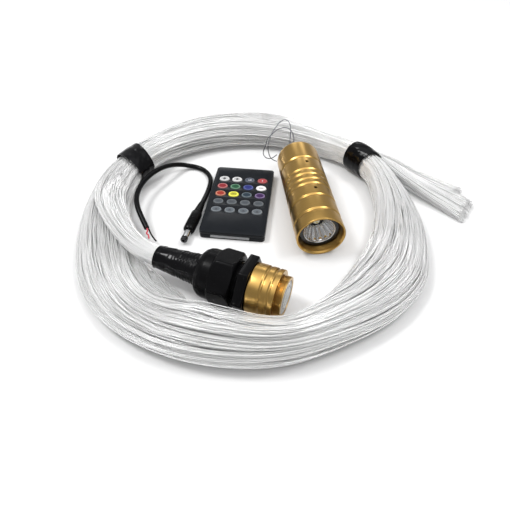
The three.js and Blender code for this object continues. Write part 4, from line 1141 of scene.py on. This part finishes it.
def marks(r, c):
    """Flat printed signs on a key, as polygons in local millimetres round its middle, with True where the print is dark."""
    tri = lambda cx, cy, w, h: [(cx - w, cy - h), (cx + w, cy - h), (cx, cy + h)]
    bar_ = lambda cx, cy, w, h: [(cx - w, cy - h), (cx + w, cy - h), (cx + w, cy + h), (cx - w, cy + h)]
    if (r, c) == (0, 0):
        return [tri(0, 0.5, 1.75, 1.05), bar_(0, -1.1, 0.7, 0.4)], True
    if (r, c) == (0, 1):
        return [[(x, -y) for x, y in tri(0, 0.5, 1.75, 1.05)][::-1], bar_(0, 1.1, 0.7, 0.4)], True
    if (r, c) == (0, 2):
        return [tri(-0.75, 0, 0.7, 0.8), bar_(0.6, 0, 0.2, 0.8), bar_(1.3, 0, 0.2, 0.8)], False
    if (r, c) == (0, 3):
        return [bar_(0, 0, 0.28, 1.1)], False
    if (r, c) in ((1, 3), (2, 1)):
        return [bar_(-1.45, 0, 0.4, 0.42), bar_(-0.48, 0, 0.35, 0.42), bar_(0.48, 0, 0.35, 0.42), bar_(1.45, 0, 0.4, 0.42)], True
    if r == 3:
        return [bar_(-1.2, 0, 0.42, 0.36), bar_(-0.1, 0, 0.42, 0.36), bar_(1.05, 0, 0.5, 0.36)], True
    if r == 4:
        return [tri(0, 0.4, 1.25, 0.72), bar_(0, -0.95, 1.25, 0.2)], True
    return [], True


for r in range(5):
    for c in range(4):
        cx, cy = (c - 1.5) * KEY_PX, KEY_Y0 - r * KEY_PY
        key_at = lambda p, cx=cx, cy=cy: rem_at(np.stack([cx + np.asarray(p)[:, 1] * KEY_RX / KEY_RY, cy + np.asarray(p)[:, 2], np.asarray(p)[:, 0]], axis=1))
        rows = [[5.15, 0.0], [5.15, KEY_RY + 0.65], [5.6, KEY_RY + 0.65], [5.6, KEY_RY - 0.02], [7.1, KEY_RY - 0.08], [7.28, KEY_RY - 0.14], [7.42, KEY_RY - 0.3],
                [7.48, KEY_RY - 0.52], [7.46, KEY_RY - 0.78], [7.4, KEY_RY - 0.92], [7.39, KEY_RY - 1.3], [7.37, 1.0], [7.365, 0.0]]
        core, rim_highlight = KEY_MATS[KEY_PLAN[r][c]]
        name = f"key_cap_r{r + 1}c{c + 1}"
        # faces of rows 3 to 8, the rounded top edge, take the lighter copy of the key's colour: a painted highlight
        o = ring_solid(name, rows, key_at, [core, rim_highlight], seg=44, index_of=lambda i: 1 if 3 <= i <= 8 else 0, sharp=40)
        polys, dark = marks(r, c)
        if polys:
            v, f = [], []
            for poly in polys:
                b = len(v)
                n = len(poly)
                for z in (7.3, 7.415):
                    v += [(cx + x, cy + y, z) for x, y in poly]
                f.append(tuple(range(b + n, b + 2 * n)))
                f.append(tuple(range(b + n - 1, b - 1, -1)))
                f += [(b + i, b + (i + 1) % n, b + n + (i + 1) % n, b + n + i) for i in range(n)]
            sign = mesh_object("sign", rem_at(np.array(v)), f, mat_mark_dark if dark else mat_mark_pale, smooth=False)
            o = joined(name, [o, sign])
        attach(o, f"key_r{r + 1}c{c + 1}")
        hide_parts(f"remote_key_r{r + 1}c{c + 1}")

# ------------------------------------------------------------------ CAD nodes that stay
STAY = {
    "fibre_core": FIBRE_TONES[0], "gland_claw_ring": mat_nylon, "gland_seal": mat_rubber, "driver_board": mat_board, "heat_sink": mat_alu,
    "led_board": mat_board, "remote_board": mat_board, "battery_contact": mat_brass,
}
for n, m in STAY.items():
    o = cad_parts[n]
    o.data.materials.clear()
    o.data.materials.append(m.m)

# ------------------------------------------------------------------ floor and light
mat_floor = Mat("floor", (0.67, 0.67, 0.67), 0.6, spec=0.2)
mat_floor.vary(mat_floor.noise(6, 3), (0.665, 0.665, 0.665), (0.675, 0.675, 0.675))
mat_floor.b.inputs["Emission Color"].default_value = (1, 1, 1, 1)
mat_floor.b.inputs["Emission Strength"].default_value = 0.08
floor = mesh_object("floor", [(-6, -4, 0), (6, -4, 0), (6, 9, 0), (-6, 9, 0)], [(0, 1, 2, 3)], mat_floor, smooth=False)


def area(name, place, aim, size, power, size_y=None, colour=(1, 1, 1)):
    d = bpy.data.lights.new(name, "AREA")
    d.shape, d.size, d.size_y = "RECTANGLE", size, size_y or size
    d.energy, d.color = power, colour
    o = bpy.data.objects.new(name, d)
    scene.collection.objects.link(o)
    o.location = place
    o.rotation_euler = (Vector(aim) - Vector(place)).to_track_quat("-Z", "Y").to_euler()
    return o


area("back_left", (-0.26, 1.55, 0.76), (0, 0, 0), 0.36, 1.2)
area("back_right", (0.28, 1.55, 0.76), (0, 0, 0), 0.36, 1.2)
area("key_left", (-0.8, 0.16, 1.38), (0, 0, 0), 0.4, 13.0)
area("key_right", (0.8, 0.16, 1.38), (0, 0, 0), 0.4, 8.0)

world = bpy.data.worlds.new("world")
scene.world = world
world.use_nodes = True
wt = world.node_tree
wt.nodes.clear()
wo = wt.nodes.new("ShaderNodeOutputWorld")
wb = wt.nodes.new("ShaderNodeBackground")
wc = wt.nodes.new("ShaderNodeTexCoord")
ws = wt.nodes.new("ShaderNodeSeparateXYZ")
wr = wt.nodes.new("ShaderNodeValToRGB")
wt.links.new(wc.outputs["Generated"], ws.inputs[0])
wt.links.new(ws.outputs["Z"], wr.inputs["Fac"])
wt.links.new(wr.outputs["Color"], wb.inputs["Color"])
wt.links.new(wb.outputs[0], wo.inputs[0])
wr.color_ramp.elements[0].position, wr.color_ramp.elements[1].position = 0.0, 1.0
wr.color_ramp.elements[0].color = (0.28, 0.28, 0.282, 1)
wr.color_ramp.elements[1].color = (1, 1, 1, 1)
for place, level in ((0.72, 0.24), (0.88, 0.9)):
    wr.color_ramp.elements.new(place).color = (level, level, level * 1.008, 1)
# the room is darker behind the camera
wm = wt.nodes.new("ShaderNodeMapRange")
wm.inputs["From Min"].default_value, wm.inputs["From Max"].default_value = -0.8, 0.3
wm.inputs["To Min"].default_value, wm.inputs["To Max"].default_value = 0.95, 1.0
wk = wt.nodes.new("ShaderNodeMath")
wk.operation = "MULTIPLY"
wk.inputs[1].default_value = 1.7
wt.links.new(ws.outputs["Y"], wm.inputs["Value"])
wt.links.new(wm.outputs[0], wk.inputs[0])
wt.links.new(wk.outputs[0], wb.inputs["Strength"])

scene.cycles.max_bounces = 40
scene.cycles.transmission_bounces = 40
scene.cycles.diffuse_bounces = 4
scene.cycles.glossy_bounces = 8
scene.cycles.transparent_max_bounces = 40
scene.view_settings.view_transform = "Standard"
scene.view_settings.look = "None"
scene.view_settings.exposure = 0.0
